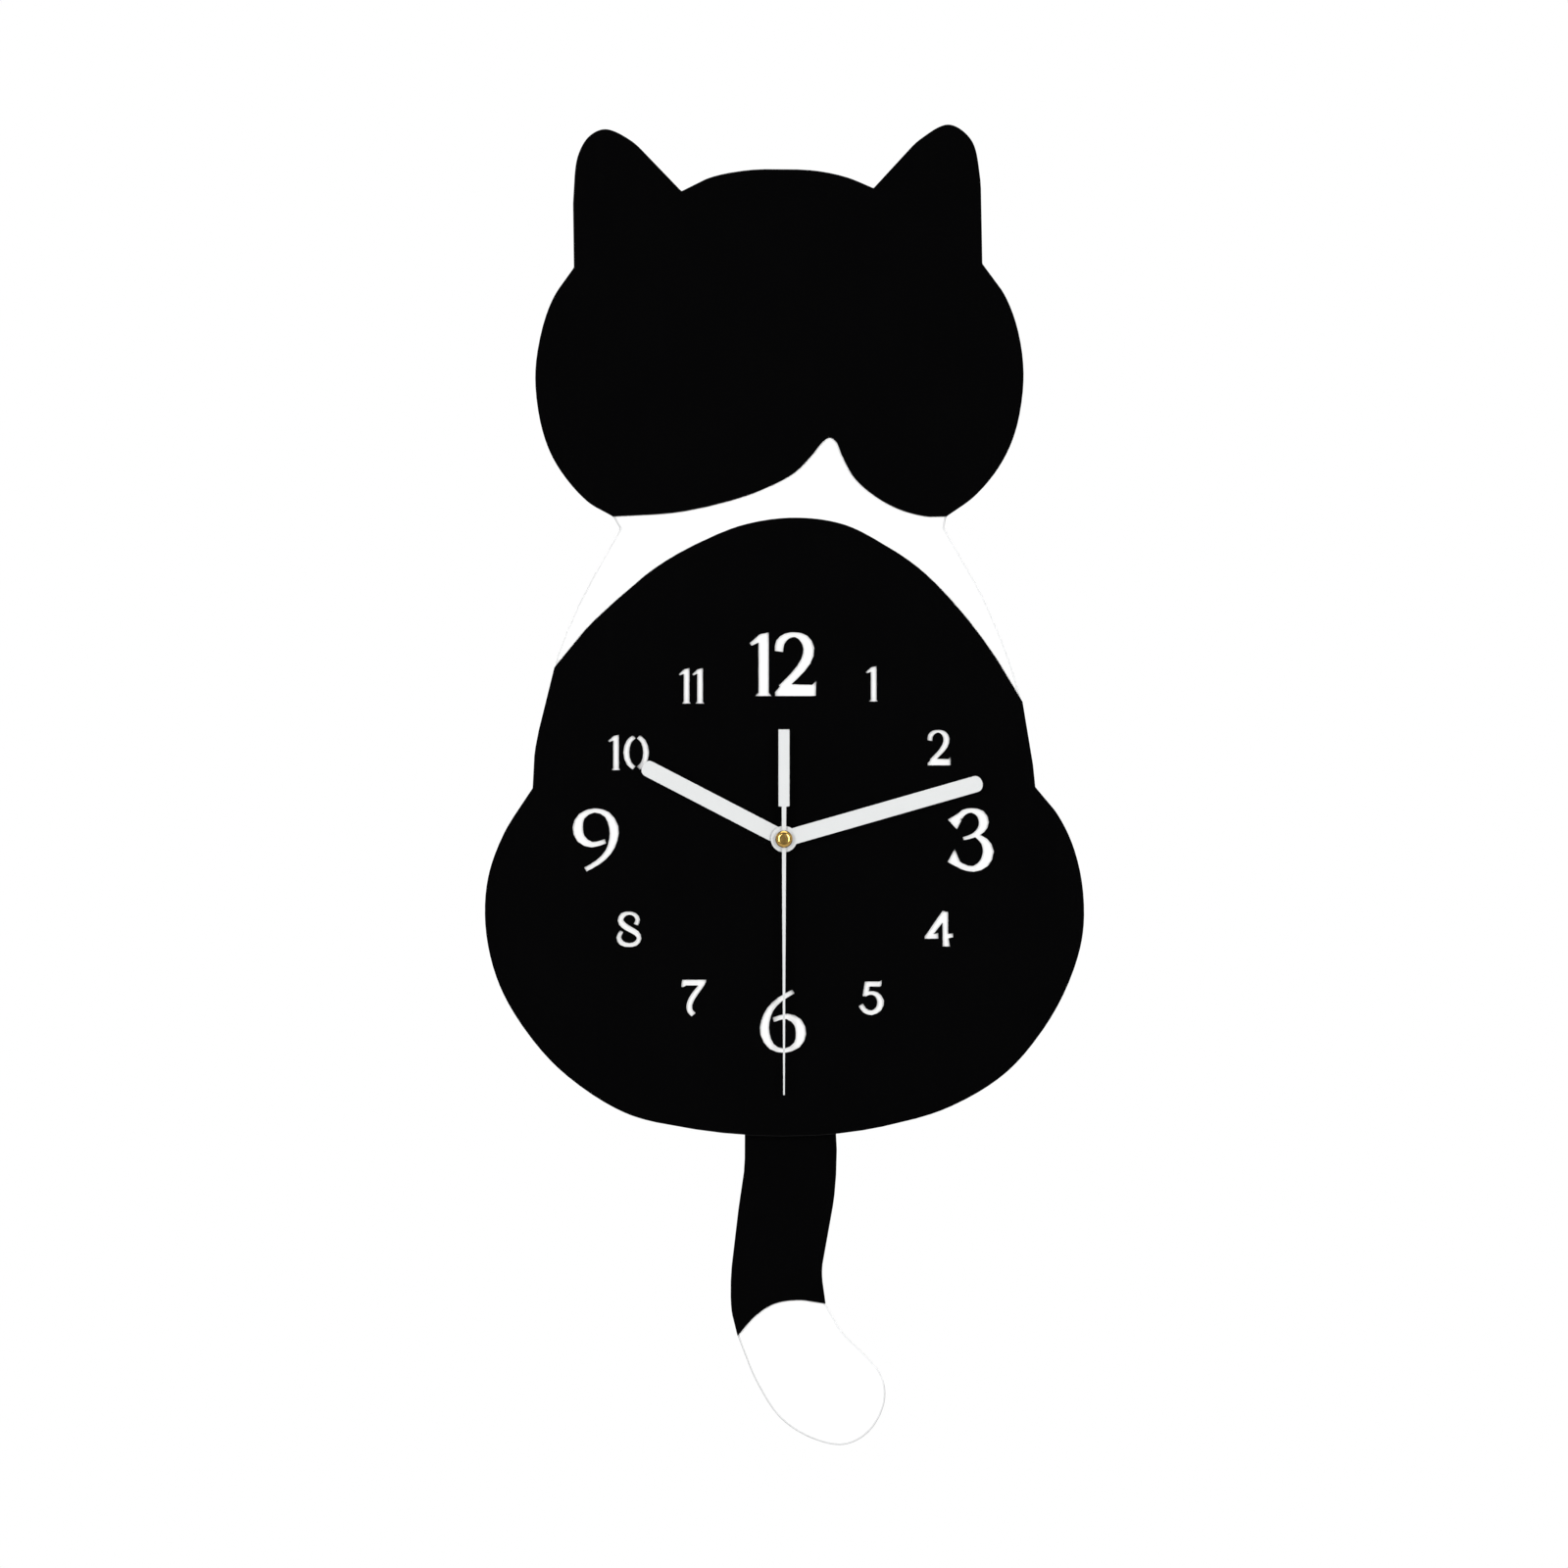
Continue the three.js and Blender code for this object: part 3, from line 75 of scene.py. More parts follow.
# ---------- material helpers ----------
class Nodes:
    """A short way to add and join the nodes of one material."""

    def __init__(self, name):
        self.material = bpy.data.materials.new(name)
        self.material.use_nodes = True
        self.tree = self.material.node_tree
        self.tree.nodes.clear()
        self.output = self.add("ShaderNodeOutputMaterial")
        self.shader = self.add("ShaderNodeBsdfPrincipled")
        self.join(self.shader.outputs["BSDF"], self.output.inputs["Surface"])
        self.place = self.add("ShaderNodeTexCoord").outputs["Object"]

    def add(self, kind, **values):
        node = self.tree.nodes.new(kind)
        for key, value in values.items():
            setattr(node, key, value)
        return node

    def join(self, source, target):
        self.tree.links.new(source, target)

    def stretched(self, scale):
        node = self.add("ShaderNodeMapping")
        node.inputs["Scale"].default_value = scale
        self.join(self.place, node.inputs["Vector"])
        return node.outputs["Vector"]

    def noise(self, scale, detail=3.0, rough=0.5, where=None):
        node = self.add("ShaderNodeTexNoise")
        node.inputs["Scale"].default_value = scale
        node.inputs["Detail"].default_value = detail
        node.inputs["Roughness"].default_value = rough
        self.join(where or self.place, node.inputs["Vector"])
        return node.outputs["Fac"]

    def cells(self, scale):
        node = self.add("ShaderNodeTexVoronoi")
        node.inputs["Scale"].default_value = scale
        self.join(self.place, node.inputs["Vector"])
        return node.outputs["Distance"]

    def math(self, operation, a, b=None):
        node = self.add("ShaderNodeMath", operation=operation)
        for i, value in enumerate((a, b)):
            if value is None:
                continue
            if isinstance(value, (int, float)):
                node.inputs[i].default_value = value
            else:
                self.join(value, node.inputs[i])
        return node.outputs[0]

    def between(self, value, low, high, start=0.0, end=1.0):
        """Low where the value is at start, high where it is at end."""
        node = self.add("ShaderNodeMapRange")
        for key, number in (("From Min", start), ("From Max", end), ("To Min", low), ("To Max", high)):
            node.inputs[key].default_value = number
        self.join(value, node.inputs["Value"])
        return node.outputs["Result"]

    def mixed(self, factor, first, second):
        node = self.add("ShaderNodeMix", data_type="RGBA")
        self.join(factor, node.inputs["Factor"])
        for socket, colour in ((node.inputs[6], first), (node.inputs[7], second)):
            if isinstance(colour, tuple):
                socket.default_value = (*colour, 1)
            else:
                self.join(colour, socket)
        return node.outputs[2]

    def axis(self, name, start=0.0):
        """One coordinate of the place on the piece, measured from the given start."""
        node = self.add("ShaderNodeSeparateXYZ")
        self.join(self.place, node.inputs[0])
        return self.math("SUBTRACT", node.outputs[name], start)

    def within(self, value, half):
        """1 where the value is nearer to 0 than the given half width."""
        return self.math("LESS_THAN", self.math("ABSOLUTE", value), half)

    def side_faces(self):
        """1 on faces that look sideways or slope, 0 on faces that look to the front or the back."""
        sloping, straight = 0.9, 0.99
        normal = self.add("ShaderNodeNewGeometry").outputs["Normal"]
        split = self.add("ShaderNodeSeparateXYZ")
        self.join(normal, split.inputs[0])
        return self.between(self.math("ABSOLUTE", split.outputs["Y"]), 1.0, 0.0, sloping, straight)

    def bump(self, height, distance, strength):
        node = self.add("ShaderNodeBump")
        node.inputs["Distance"].default_value = distance
        node.inputs["Strength"].default_value = strength
        self.join(height, node.inputs["Height"])
        self.join(node.outputs["Normal"], self.shader.inputs["Normal"])

    def colour(self, source):
        self.join(source, self.shader.inputs["Base Color"])

    def rough(self, source):
        self.join(source, self.shader.inputs["Roughness"])

    def fixed(self, **values):
        for key, value in values.items():
            self.shader.inputs[key.replace("_", " ")].default_value = value


# In the functions below, the scales of noise and cells are features per metre, and depths are in metres.
def acrylic(name, face, face_dark, edge, edge_rough):
    """Cast sheet: polished faces with hairline scuffs, laser-cut edges with fine upright striations. Sloping
    and side faces take the edge colour, which on white sheet is a painted grey shade that draws its outline.
    """
    cloud, scuff, stripe, wave = 35.0, 900.0, 1500.0, 9.0
    relief = 0.00012
    n = Nodes(name)
    sides = n.side_faces()
    tint = n.mixed(n.noise(cloud), face_dark, face)
    # Painted shade: sloping and side faces take the edge colour, which on white sheet is darker than the face
    # and draws a grey outline.
    n.colour(n.mixed(sides, tint, edge))
    scuffs = n.noise(scuff, 4.0, 0.6, n.stretched((1.0, 1.0, 0.04)))
    polish = n.between(n.math("POWER", scuffs, 4.0), 0.05, 0.12)
    cut_marks = n.noise(stripe, 2.0, 0.5, n.stretched((1.0, 0.03, 1.0)))
    n.rough(n.math("ADD", polish, n.math("MULTIPLY", sides, edge_rough)))
    waviness = n.math("MULTIPLY", n.noise(wave, 1.0), 0.25)
    ridges = n.math("MULTIPLY", n.math("MULTIPLY", cut_marks, sides), 0.5)
    n.bump(n.math("ADD", waviness, ridges), relief, 0.6)
    n.fixed(IOR=1.49)
    return n.material


def paint(name, tone, tone_dark):
    """Satin spray paint on thin metal sheet, with a fine orange peel."""
    cloud, shine, peel = 120.0, 500.0, 1400.0
    n = Nodes(name)
    n.colour(n.mixed(n.noise(cloud), tone_dark, tone))
    n.rough(n.between(n.noise(shine), 0.36, 0.46))
    n.bump(n.noise(peel, 2.0), 0.00002, 0.35)
    n.fixed(Coat_Weight=0.25, Coat_Roughness=0.3)
    return n.material


def moulded(name, tone, tone_dark, low, high, grain=2600.0, depth=0.00003):
    """Injection-moulded plastic: spark-eroded grain, faint flow marks and slight shine changes."""
    flow, shine = 45.0, 160.0
    n = Nodes(name)
    n.colour(n.mixed(n.noise(flow, 4.0, 0.6, n.stretched((1.0, 1.0, 0.35))), tone_dark, tone))
    n.rough(n.between(n.noise(shine), low, high))
    n.bump(n.math("ADD", n.cells(grain), n.noise(grain * 0.7, 2.0)), depth, 0.5)
    return n.material


def radius_from(n, centre):
    x = n.axis("X", centre[0])
    z = n.axis("Z", centre[2])
    return n.math("SQRT", n.math("ADD", n.math("MULTIPLY", x, x), n.math("MULTIPLY", z, z)))


def turned_metal(name, tone, tone_dark, centre, low=0.16, high=0.3, groove=0.000002):
    """Lathe-turned metal with fine rings about an axis along Y."""
    cloud, shine, grain = 260.0, 420.0, 2500.0
    n = Nodes(name)
    rings = n.math("SINE", n.math("MULTIPLY", radius_from(n, centre), RING_PHASE))
    n.colour(n.mixed(n.noise(cloud, 4.0), tone_dark, tone))
    n.rough(n.between(n.noise(shine), low, high))
    n.bump(n.math("ADD", rings, n.noise(grain)), groove, 0.4)
    n.fixed(Metallic=1.0)
    return n.material


def sheet_metal(name, tone, tone_dark, low=0.24, high=0.42, streak=(1.0, 1.0, 0.05)):
    """Rolled and plated sheet: streaks along the rolling direction and faint spangle."""
    fine, spangle = 700.0, 90.0
    n = Nodes(name)
    streaks = n.noise(fine, 4.0, 0.6, n.stretched(streak))
    n.colour(n.mixed(n.math("MULTIPLY", streaks, n.noise(spangle)), tone_dark, tone))
    n.rough(n.between(streaks, low, high))
    n.bump(streaks, 0.00002, 0.4)
    n.fixed(Metallic=1.0)
    return n.material


def foam(name, tone, tone_dark):
    """Soft foam with open pores, darkened inside with painted shade."""
    pore, shine = 1600.0, 300.0
    n = Nodes(name)
    pores = n.cells(pore)
    # Painted shade: the colour darkens in the pores, where the bump is low.
    n.colour(n.mixed(n.between(pores, 0.0, 1.0, 0.1, 0.6), tone_dark, tone))
    n.rough(n.between(n.noise(shine), 0.8, 0.95))
    n.bump(pores, 0.0003, 0.8)
    return n.material


def wound_wire(name, tone, tone_dark, turns):
    """Enamelled wire wound in close turns, with painted shade darkening the grooves between turns; turns is a
    function of the nodes giving the winding's phase.
    """
    cloud, relief = 300.0, 0.00006
    n = Nodes(name)
    ridge = n.math("ABSOLUTE", n.math("SINE", turns(n)))
    # Painted shade: the colour darkens towards the grooves between the turns, and also at random with the
    # cloud.
    n.colour(n.mixed(n.math("MULTIPLY", ridge, n.noise(cloud)), tone_dark, tone))
    n.rough(n.between(ridge, 0.4, 0.2))
    n.bump(ridge, relief, 0.9)
    n.fixed(Metallic=1.0, Coat_Weight=0.5, Coat_Roughness=0.15)
    return n.material


def circuit(name):
    """Green solder resist over faint copper tracks."""
    track_scale, gap, row_shift = 90.0, 0.06, 0.35
    n = Nodes(name)
    tracks = n.add("ShaderNodeTexBrick", offset=row_shift, squash=1.0)
    tracks.inputs["Scale"].default_value = track_scale
    tracks.inputs["Mortar Size"].default_value = gap
    upright = n.add("ShaderNodeMapping")
    upright.inputs["Rotation"].default_value = (math.radians(90), 0, 0)
    n.join(n.place, upright.inputs["Vector"])
    n.join(upright.outputs["Vector"], tracks.inputs["Vector"])
    n.colour(n.mixed(tracks.outputs["Fac"], (0.02, 0.155, 0.06), (0.028, 0.19, 0.078)))
    n.rough(n.between(n.noise(200.0), 0.3, 0.42))
    n.bump(tracks.outputs["Fac"], 0.00003, 0.5)
    return n.material


# The print on a cell's sleeve, in mm from its negative end.
BAND_START = 36.5
PRINTED_LINES = (35.0, 4.0)
PLUS_PLACE = 42.5
MINUS_PLACE = 9.0
LINE_HALF = 0.35
MARK_HALF = 1.7
SLEEVE_BLUE = (0.03, 0.075, 0.26)
SLEEVE_DARK = (0.018, 0.045, 0.17)
SLEEVE_SILVER = (0.66, 0.68, 0.7)


def cell_sleeve(name, along, across):
    """Printed sleeve of an AA cell; along is measured from its negative end, across from its middle."""
    n = Nodes(name)
    length = along(n)
    side = across(n)
    colour = n.mixed(n.noise(60.0), SLEEVE_DARK, SLEEVE_BLUE)
    band = n.math("GREATER_THAN", length, BAND_START * MM)
    colour = n.mixed(band, colour, SLEEVE_SILVER)
    for line in PRINTED_LINES:
        stripe = n.within(n.math("SUBTRACT", length, line * MM), LINE_HALF * MM)
        colour = n.mixed(stripe, colour, SLEEVE_SILVER)
    bar_along = n.within(side, LINE_HALF * MM)
    from_plus = n.math("SUBTRACT", length, PLUS_PLACE * MM)
    bar_across = n.within(from_plus, LINE_HALF * MM)
    plus = n.math("MAXIMUM", n.math("MULTIPLY", bar_along, n.within(from_plus, MARK_HALF * MM)),
                  n.math("MULTIPLY", bar_across, n.within(side, MARK_HALF * MM)))
    from_minus = n.math("SUBTRACT", length, MINUS_PLACE * MM)
    minus = n.math("MULTIPLY", n.within(from_minus, LINE_HALF * MM), n.within(side, MARK_HALF * MM))
    colour = n.mixed(plus, colour, SLEEVE_DARK)
    n.colour(n.mixed(minus, colour, SLEEVE_SILVER))
    n.rough(n.between(n.noise(350.0), 0.22, 0.34))
    n.bump(n.noise(500.0, 2.0), 0.00003, 0.4)
    n.fixed(Coat_Weight=0.4, Coat_Roughness=0.12)
    return n.material


# ---------- materials ----------
COPPER = (0.72, 0.33, 0.14)
# Darker copper: painted shade in the grooves between a coil's turns, and random mottle on the turns.
COPPER_SHADE_AND_MOTTLE = (0.45, 0.16, 0.06)
EVEN = (1.0, 1.0, 1.0)       # no rolling direction
DRIVE_COIL_CENTRE = middle("drive_coil")
# The third colour, on the white sheet's sloping and side faces, is painted grey shade that draws the sheet's
# outline.
WHITE_ACRYLIC = acrylic("white_acrylic", (0.93, 0.93, 0.925), (0.9, 0.9, 0.895), (0.565, 0.57, 0.575), 0.18)
BLACK_ACRYLIC = acrylic("black_acrylic", (0.0012, 0.0012, 0.0013), (0.0008, 0.0008, 0.0009),
                        (0.004, 0.004, 0.004), 0.12)
HAND_PAINT = paint("hand_paint", (0.53, 0.54, 0.54), (0.5, 0.51, 0.51))
CASE_BLACK = moulded("case_plastic", (0.022, 0.022, 0.024), (0.014, 0.014, 0.015), 0.42, 0.58)
GEAR_WHITE = moulded("gear_plastic", (0.82, 0.8, 0.73), (0.76, 0.74, 0.67), 0.35, 0.5, 4000.0, 0.00001)
KNOB_WHITE = moulded("knob_plastic", (0.86, 0.86, 0.84), (0.78, 0.78, 0.76), 0.35, 0.5, 4000.0, 0.00001)
BRASS = turned_metal("brass", (0.86, 0.6, 0.27), (0.74, 0.48, 0.19), AXIS)
STEEL = sheet_metal("zinc_plated_steel", (0.72, 0.73, 0.74), (0.5, 0.51, 0.53))
MAGNET = sheet_metal("nickel_magnet", (0.6, 0.6, 0.62), (0.45, 0.45, 0.47), 0.15, 0.25, EVEN)
RUBBER = moulded("rubber", (0.018, 0.018, 0.018), (0.012, 0.012, 0.012), 0.75, 0.9, 1200.0, 0.00005)
FOAM = foam("foam_tape", (0.84, 0.82, 0.76), (0.66, 0.64, 0.58))
CIRCUIT = circuit("circuit_board")
COIL_WIRE = wound_wire("coil_wire", COPPER, COPPER_SHADE_AND_MOTTLE,
                       lambda n: n.math("MULTIPLY", n.axis("Z"), WIRE_PHASE))
DRIVE_COIL_WIRE = wound_wire("drive_coil_wire", COPPER, COPPER_SHADE_AND_MOTTLE,
                             lambda n: n.math("MULTIPLY", radius_from(n, DRIVE_COIL_CENTRE), WIRE_PHASE))
LEAD_WIRE = wound_wire("lead_wire", COPPER, (0.5, 0.2, 0.08),
                       lambda n: n.math("MULTIPLY", n.noise(400.0), 6.0))
CAP_BRASS = turned_metal("polished_brass", (0.62, 0.4, 0.12), (0.5, 0.3, 0.08), AXIS, 0.16, 0.21, 0.0000004)
SOLDER = sheet_metal("solder", (0.75, 0.75, 0.76), (0.6, 0.6, 0.61), 0.2, 0.35, EVEN)
INSULATOR = moulded("insulator", (0.5, 0.09, 0.05), (0.4, 0.07, 0.04), 0.5, 0.7, 2000.0, 0.00002)

NODE_MATERIALS = {
    "base_plate": WHITE_ACRYLIC, "tail_plate": WHITE_ACRYLIC,
    "head_overlay": BLACK_ACRYLIC, "back_overlay": BLACK_ACRYLIC, "tail_overlay": BLACK_ACRYLIC,
    "hour_hand": HAND_PAINT, "minute_hand": HAND_PAINT, "second_hand": HAND_PAINT,
    "setting_knob": KNOB_WHITE, "rubber_washer": RUBBER,
    "coil_winding": COIL_WIRE, "drive_coil": DRIVE_COIL_WIRE,
    "rotor_magnet": MAGNET, "arm_magnet": MAGNET,
    "circuit_board": CIRCUIT, "drive_board": CIRCUIT,
    "foam_pad_left": FOAM, "foam_pad_right": FOAM, "tail_adhesive_pad": FOAM,
}
SLOT_MATERIALS = {
    "case_plastic": CASE_BLACK, "gear_plastic": GEAR_WHITE, "brass": BRASS, "steel": STEEL,
    "cell": STEEL,
}
slots = {part["node"]: part["material_slot"] for part in frame["record"]["subparts"]}


# ---------- carried-over CAD nodes ----------
def smoothing_by_angle():
    """Nodes that shade a mesh smooth, with sharp edges where it turns by more than SHARP_ANGLE."""
    group = bpy.data.node_groups.new("smoothing_by_angle", "GeometryNodeTree")
    group.interface.new_socket("Geometry", in_out="INPUT", socket_type="NodeSocketGeometry")
    group.interface.new_socket("Geometry", in_out="OUTPUT", socket_type="NodeSocketGeometry")
    start = group.nodes.new("NodeGroupInput")
    faces = group.nodes.new("GeometryNodeSetShadeSmooth")
    edges = group.nodes.new("GeometryNodeSetShadeSmooth")
    edges.domain = "EDGE"
    angle = group.nodes.new("GeometryNodeInputMeshEdgeAngle")
    below = group.nodes.new("ShaderNodeMath")
    below.operation = "LESS_THAN"
    below.inputs[1].default_value = math.radians(SHARP_ANGLE)
    finish = group.nodes.new("NodeGroupOutput")
    for source, target in ((start.outputs[0], faces.inputs["Geometry"]),
                           (faces.outputs[0], edges.inputs["Geometry"]),
                           (angle.outputs["Unsigned Angle"], below.inputs[0]),
                           (below.outputs[0], edges.inputs["Shade Smooth"]),
                           (edges.outputs[0], finish.inputs[0])):
        group.links.new(source, target)
    return group


SMOOTHING = smoothing_by_angle()


def joined_up(piece):
    """Joins the carried-over triangles at their corners, and into whole flat faces."""
    weld = piece.modifiers.new("join", "WELD")
    weld.merge_threshold = WELD_REACH
    flat = piece.modifiers.new("flat", "DECIMATE")
    flat.decimate_type = "DISSOLVE"
    flat.angle_limit = math.radians(FLAT_ANGLE)


def smoothed(piece):
    smooth = piece.modifiers.new("smooth", "NODES")
    smooth.node_group = SMOOTHING


def soften(piece, width, clamp):
    """Bevels the edges; clamp narrows the whole bevel to what the shortest edge allows."""
    bevel = piece.modifiers.new("edge", "BEVEL")
    bevel.width = width
    bevel.segments = BEVEL_SEGMENTS
    bevel.limit_method = "ANGLE"
    bevel.angle_limit = math.radians(BEVEL_ANGLE)
    bevel.use_clamp_overlap = clamp


EDGE_WIDTHS = {
    "base_plate": 0.0009, "head_overlay": 0.00016, "back_overlay": 0.00012, "tail_plate": 0.0009,
    "tail_overlay": 0.00016, "case_front": 0.00035, "case_back": 0.0002, "drive_case_front": 0.00035,
    "drive_case_back": 0.0002, "hour_hand": 0.00012, "minute_hand": 0.00012, "second_hand": 0.00006,
    "hanger_bracket": 0.0002, "setting_knob": 0.00015, "swing_arm": 0.0002, "foam_pad_left": 0.0003,
    "foam_pad_right": 0.0003, "tail_adhesive_pad": 0.0002,
}
FULL_WIDTH = ("base_plate", "tail_plate")
for name, piece in NODES.items():
    material = NODE_MATERIALS.get(name) or SLOT_MATERIALS[slots[name]]
    piece.data.materials.clear()
    piece.data.materials.append(material)
    joined_up(piece)
    if name in EDGE_WIDTHS:
        soften(piece, EDGE_WIDTHS[name], clamp=name not in FULL_WIDTH)
    else:
        smoothed(piece)


# ---------- building pieces in mesh code ----------
def lathe(profile, segments=64):
    """Turns (radius, height) points, in mm, about the Z axis; they end on the axis or close on themselves."""
    work = bmesh.new()
    rings = []
    for radius, height in profile:
        count = segments if radius > 0 else 1
        angles = [2 * math.pi * i / segments for i in range(count)]
        rings.append([work.verts.new((radius * MM * math.cos(a), radius * MM * math.sin(a), height * MM))
                      for a in angles])
    pairs = list(zip(rings, rings[1:]))
    if profile[0][0] > 0:
        pairs.append((rings[-1], rings[0]))
    for lower, upper in pairs:
        for i in range(segments):
            j = i + 1
            corners = [lower[i % len(lower)], lower[j % len(lower)],
                       upper[j % len(upper)], upper[i % len(upper)]]
            corners = list(dict.fromkeys(corners))
            if len(corners) > 2:
                work.faces.new(corners)
    return work


def prism(outline, low, high, taper=1.0):
    """An upright prism on (x, y) points, in mm; taper scales its lower outline."""
    work = bmesh.new()
    lower = [work.verts.new((x * taper * MM, y * taper * MM, low * MM)) for x, y in outline]
    upper = [work.verts.new((x * MM, y * MM, high * MM)) for x, y in outline]
    work.faces.new(lower)
    work.faces.new(upper)
    for i in range(len(outline)):
        j = (i + 1) % len(outline)
        work.faces.new((lower[i], lower[j], upper[j], upper[i]))
    return work


def placed(name, work, place, direction):
    """Stands the mesh at a place, with its Z axis along a direction."""
    turn = UP.rotation_difference(direction).to_matrix().to_4x4()
    bmesh.ops.transform(work, matrix=Matrix.Translation(place) @ turn, verts=work.verts)
    bmesh.ops.recalc_face_normals(work, faces=work.faces)
    mesh = bpy.data.meshes.new(name)
    work.to_mesh(mesh)
    work.free()
    piece = bpy.data.objects.new(name, mesh)
    bpy.context.scene.collection.objects.link(piece)
    return piece


def carve(piece, work, place, direction, operation="DIFFERENCE"):
    """Cuts a piece with another shape and keeps only the result."""
    cutter = placed("cutter", work, place, direction)
    change = piece.modifiers.new("carve", "BOOLEAN")
    change.operation = operation
    change.solver = "EXACT"
    change.object = cutter
    seen = bpy.context.evaluated_depsgraph_get()
    result = bpy.data.meshes.new_from_object(piece.evaluated_get(seen))
    piece.modifiers.clear()
    piece.data = result
    bpy.data.objects.remove(cutter)


def finished(piece, material, body, smooth_angle=35):
    """Gives a made piece its material and shading, and puts it on its body."""
    mesh = piece.data
    mesh.materials.clear()
    mesh.materials.append(material)
    mesh.shade_smooth()
    mesh.set_sharp_from_angle(angle=math.radians(smooth_angle))
    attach(piece, body)
    return piece


def turned(name, profile, place, direction, material, body, segments=64):
    return finished(placed(name, lathe(profile, segments), place, direction), material, body)


def chamfered(inner, outer, thick, edge):
    """The closed profile of a ring, or of a disc where inner is 0, with chamfered outer edges."""
    rim = [(outer - edge, 0), (outer, edge), (outer, thick - edge), (outer - edge, thick)]
    return [(inner, 0), *rim, (inner, thick)]


def wound(inner, outer, height, turns, groove=0.06):
    """The closed profile of a coil whose outer face shows its turns."""
    pitch = height / turns
    face = []
    for i in range(turns):
        face += [(outer - groove, i * pitch), (outer, (i + 0.5) * pitch)]
    return [(inner, 0), *face, (outer - groove, height), (inner, height)]


def at(node, x=0.5, y=0.5, z=0.5):
    """A place in a node's box, by shares of its width, depth and height."""
    low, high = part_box(node)
    return Vector(low[i] + (high[i] - low[i]) * share for i, share in enumerate((x, y, z)))


def depth_of(node, axis):
    """A node's size along X, Y or Z (0, 1 or 2), in mm."""
    low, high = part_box(node)
    return (high[axis] - low[axis]) / MM


# ---------- brass cap, nut and washer on the hands' axis ----------
def second_hand_cap():
    """A turned and polished cap: a nearly flat face, a full round shoulder and a small step at its foot."""
    reach, height, foot, flat = 3.4, 1.9, 0.5, 1.7
    step, crown = 6, 0.02
    shoulder = [(flat + (reach - flat) * math.cos(a), foot + (height - foot) * math.sin(a))
                for a in (math.radians(step * i) for i in range(1, 90 // step))]
    profile = [(0, 0), (3.05, 0), (3.2, 0.1), (3.2, 0.25), (reach, 0.35), (reach, foot), *shoulder,
               (flat, height), (0, height + crown)]
    cap = turned("second_hand_cap", profile, at("second_hand_boss", y=1), FRONT, CAP_BRASS, "second_train",
                 96)
    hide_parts("second_hand_boss")


def clamp_nut():
    """A hexagon with turned chamfers and a bore that opens at both ends."""
    corner, thick, bore = 5.1, depth_of("hex_nut", 1), 3.8
    face_reach, outer, chamfer = 4.5, 5.2, 0.38
    mouth, sink, past = 4.15, 0.28, 0.1
    hexagon = [(corner * math.cos(math.radians(60 * i)), corner * math.sin(math.radians(60 * i)))
               for i in range(6)]
    rear = at("hex_nut", y=1)
    nut = placed("clamp_nut", prism(hexagon, 0, thick), rear, FRONT)
    envelope = [(0, 0), (face_reach, 0), (outer, chamfer), (outer, thick - chamfer), (face_reach, thick),
                (0, thick)]
    carve(nut, lathe(envelope), rear, FRONT, "INTERSECT")
    hole = [(0, -past), (mouth, -past), (bore, sink), (bore, thick - sink), (mouth, thick + past),
            (0, thick + past)]
    carve(nut, lathe(hole), rear, FRONT)
    finished(nut, BRASS, "clock_body", 25)
    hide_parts("hex_nut")


def clamp_washer():
    thick = depth_of("brass_washer", 1)
    inner, outer, edge = 3.9, 5.0, 0.08
    washer = turned("clamp_washer", chamfered(inner, outer, thick, edge), at("brass_washer", y=1), FRONT,
                    BRASS, "clock_body")
    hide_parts("brass_washer")


# ---------- AA cells ----------
CELL_RADIUS = 7.1
CELL_BODY = 49.2
CELL_NUB = 50.5
CELL_SEGMENTS = 72


def aa_cell(node, body, foot, direction, sleeve_material):
    """A steel can with a crimped end and a button, an insulating ring and a shrunk-on sleeve."""
    can = [(0, 0.12), (3.0, 0.12), (3.3, 0), (5.4, 0), (5.8, 0.2), (6.6, 0.25), (6.9, 0.6), (6.9, 48.4),
           (6.5, 48.9), (5.7, 49.1), (5.3, 48.8), (3.2, 48.8), (2.75, 49.0), (2.75, 50.15), (2.4, CELL_NUB),
           (0, CELL_NUB)]
    sleeve = [(6.0, 0.1), (6.8, 0.12), (CELL_RADIUS, 0.45), (CELL_RADIUS, 48.75), (6.85, 49.1),
              (5.9, CELL_BODY), (5.9, 49.12), (6.8, 49.0), (6.95, 48.7), (6.95, 0.5), (6.75, 0.24),
              (6.0, 0.22)]
    ring_inner, ring_outer, ring_thick, ring_edge, ring_rise = 2.95, 5.25, 0.14, 0.04, 48.82
    ring = chamfered(ring_inner, ring_outer, ring_thick, ring_edge)
    turned(f"{node}_can", can, foot, direction, STEEL, body, CELL_SEGMENTS)
    turned(f"{node}_insulator", ring, foot + direction * ring_rise * MM, direction, INSULATOR, body,
           CELL_SEGMENTS)
    skin = turned(f"{node}_sleeve", sleeve, foot, direction, sleeve_material, body, CELL_SEGMENTS)
    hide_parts(node)


def cells():
    foot = at("time_battery", x=0)
    sleeve = cell_sleeve("time_cell_sleeve", lambda n: n.axis("X", foot.x), lambda n: n.axis("Z", foot.z))
    aa_cell("time_battery", "time_cell", foot, RIGHT, sleeve)
    base = at("drive_battery", z=0)
    sleeve = cell_sleeve("drive_cell_sleeve", lambda n: n.axis("Z", base.z), lambda n: n.axis("X", base.x))
    aa_cell("drive_battery", "drive_cell", base, UP, sleeve)


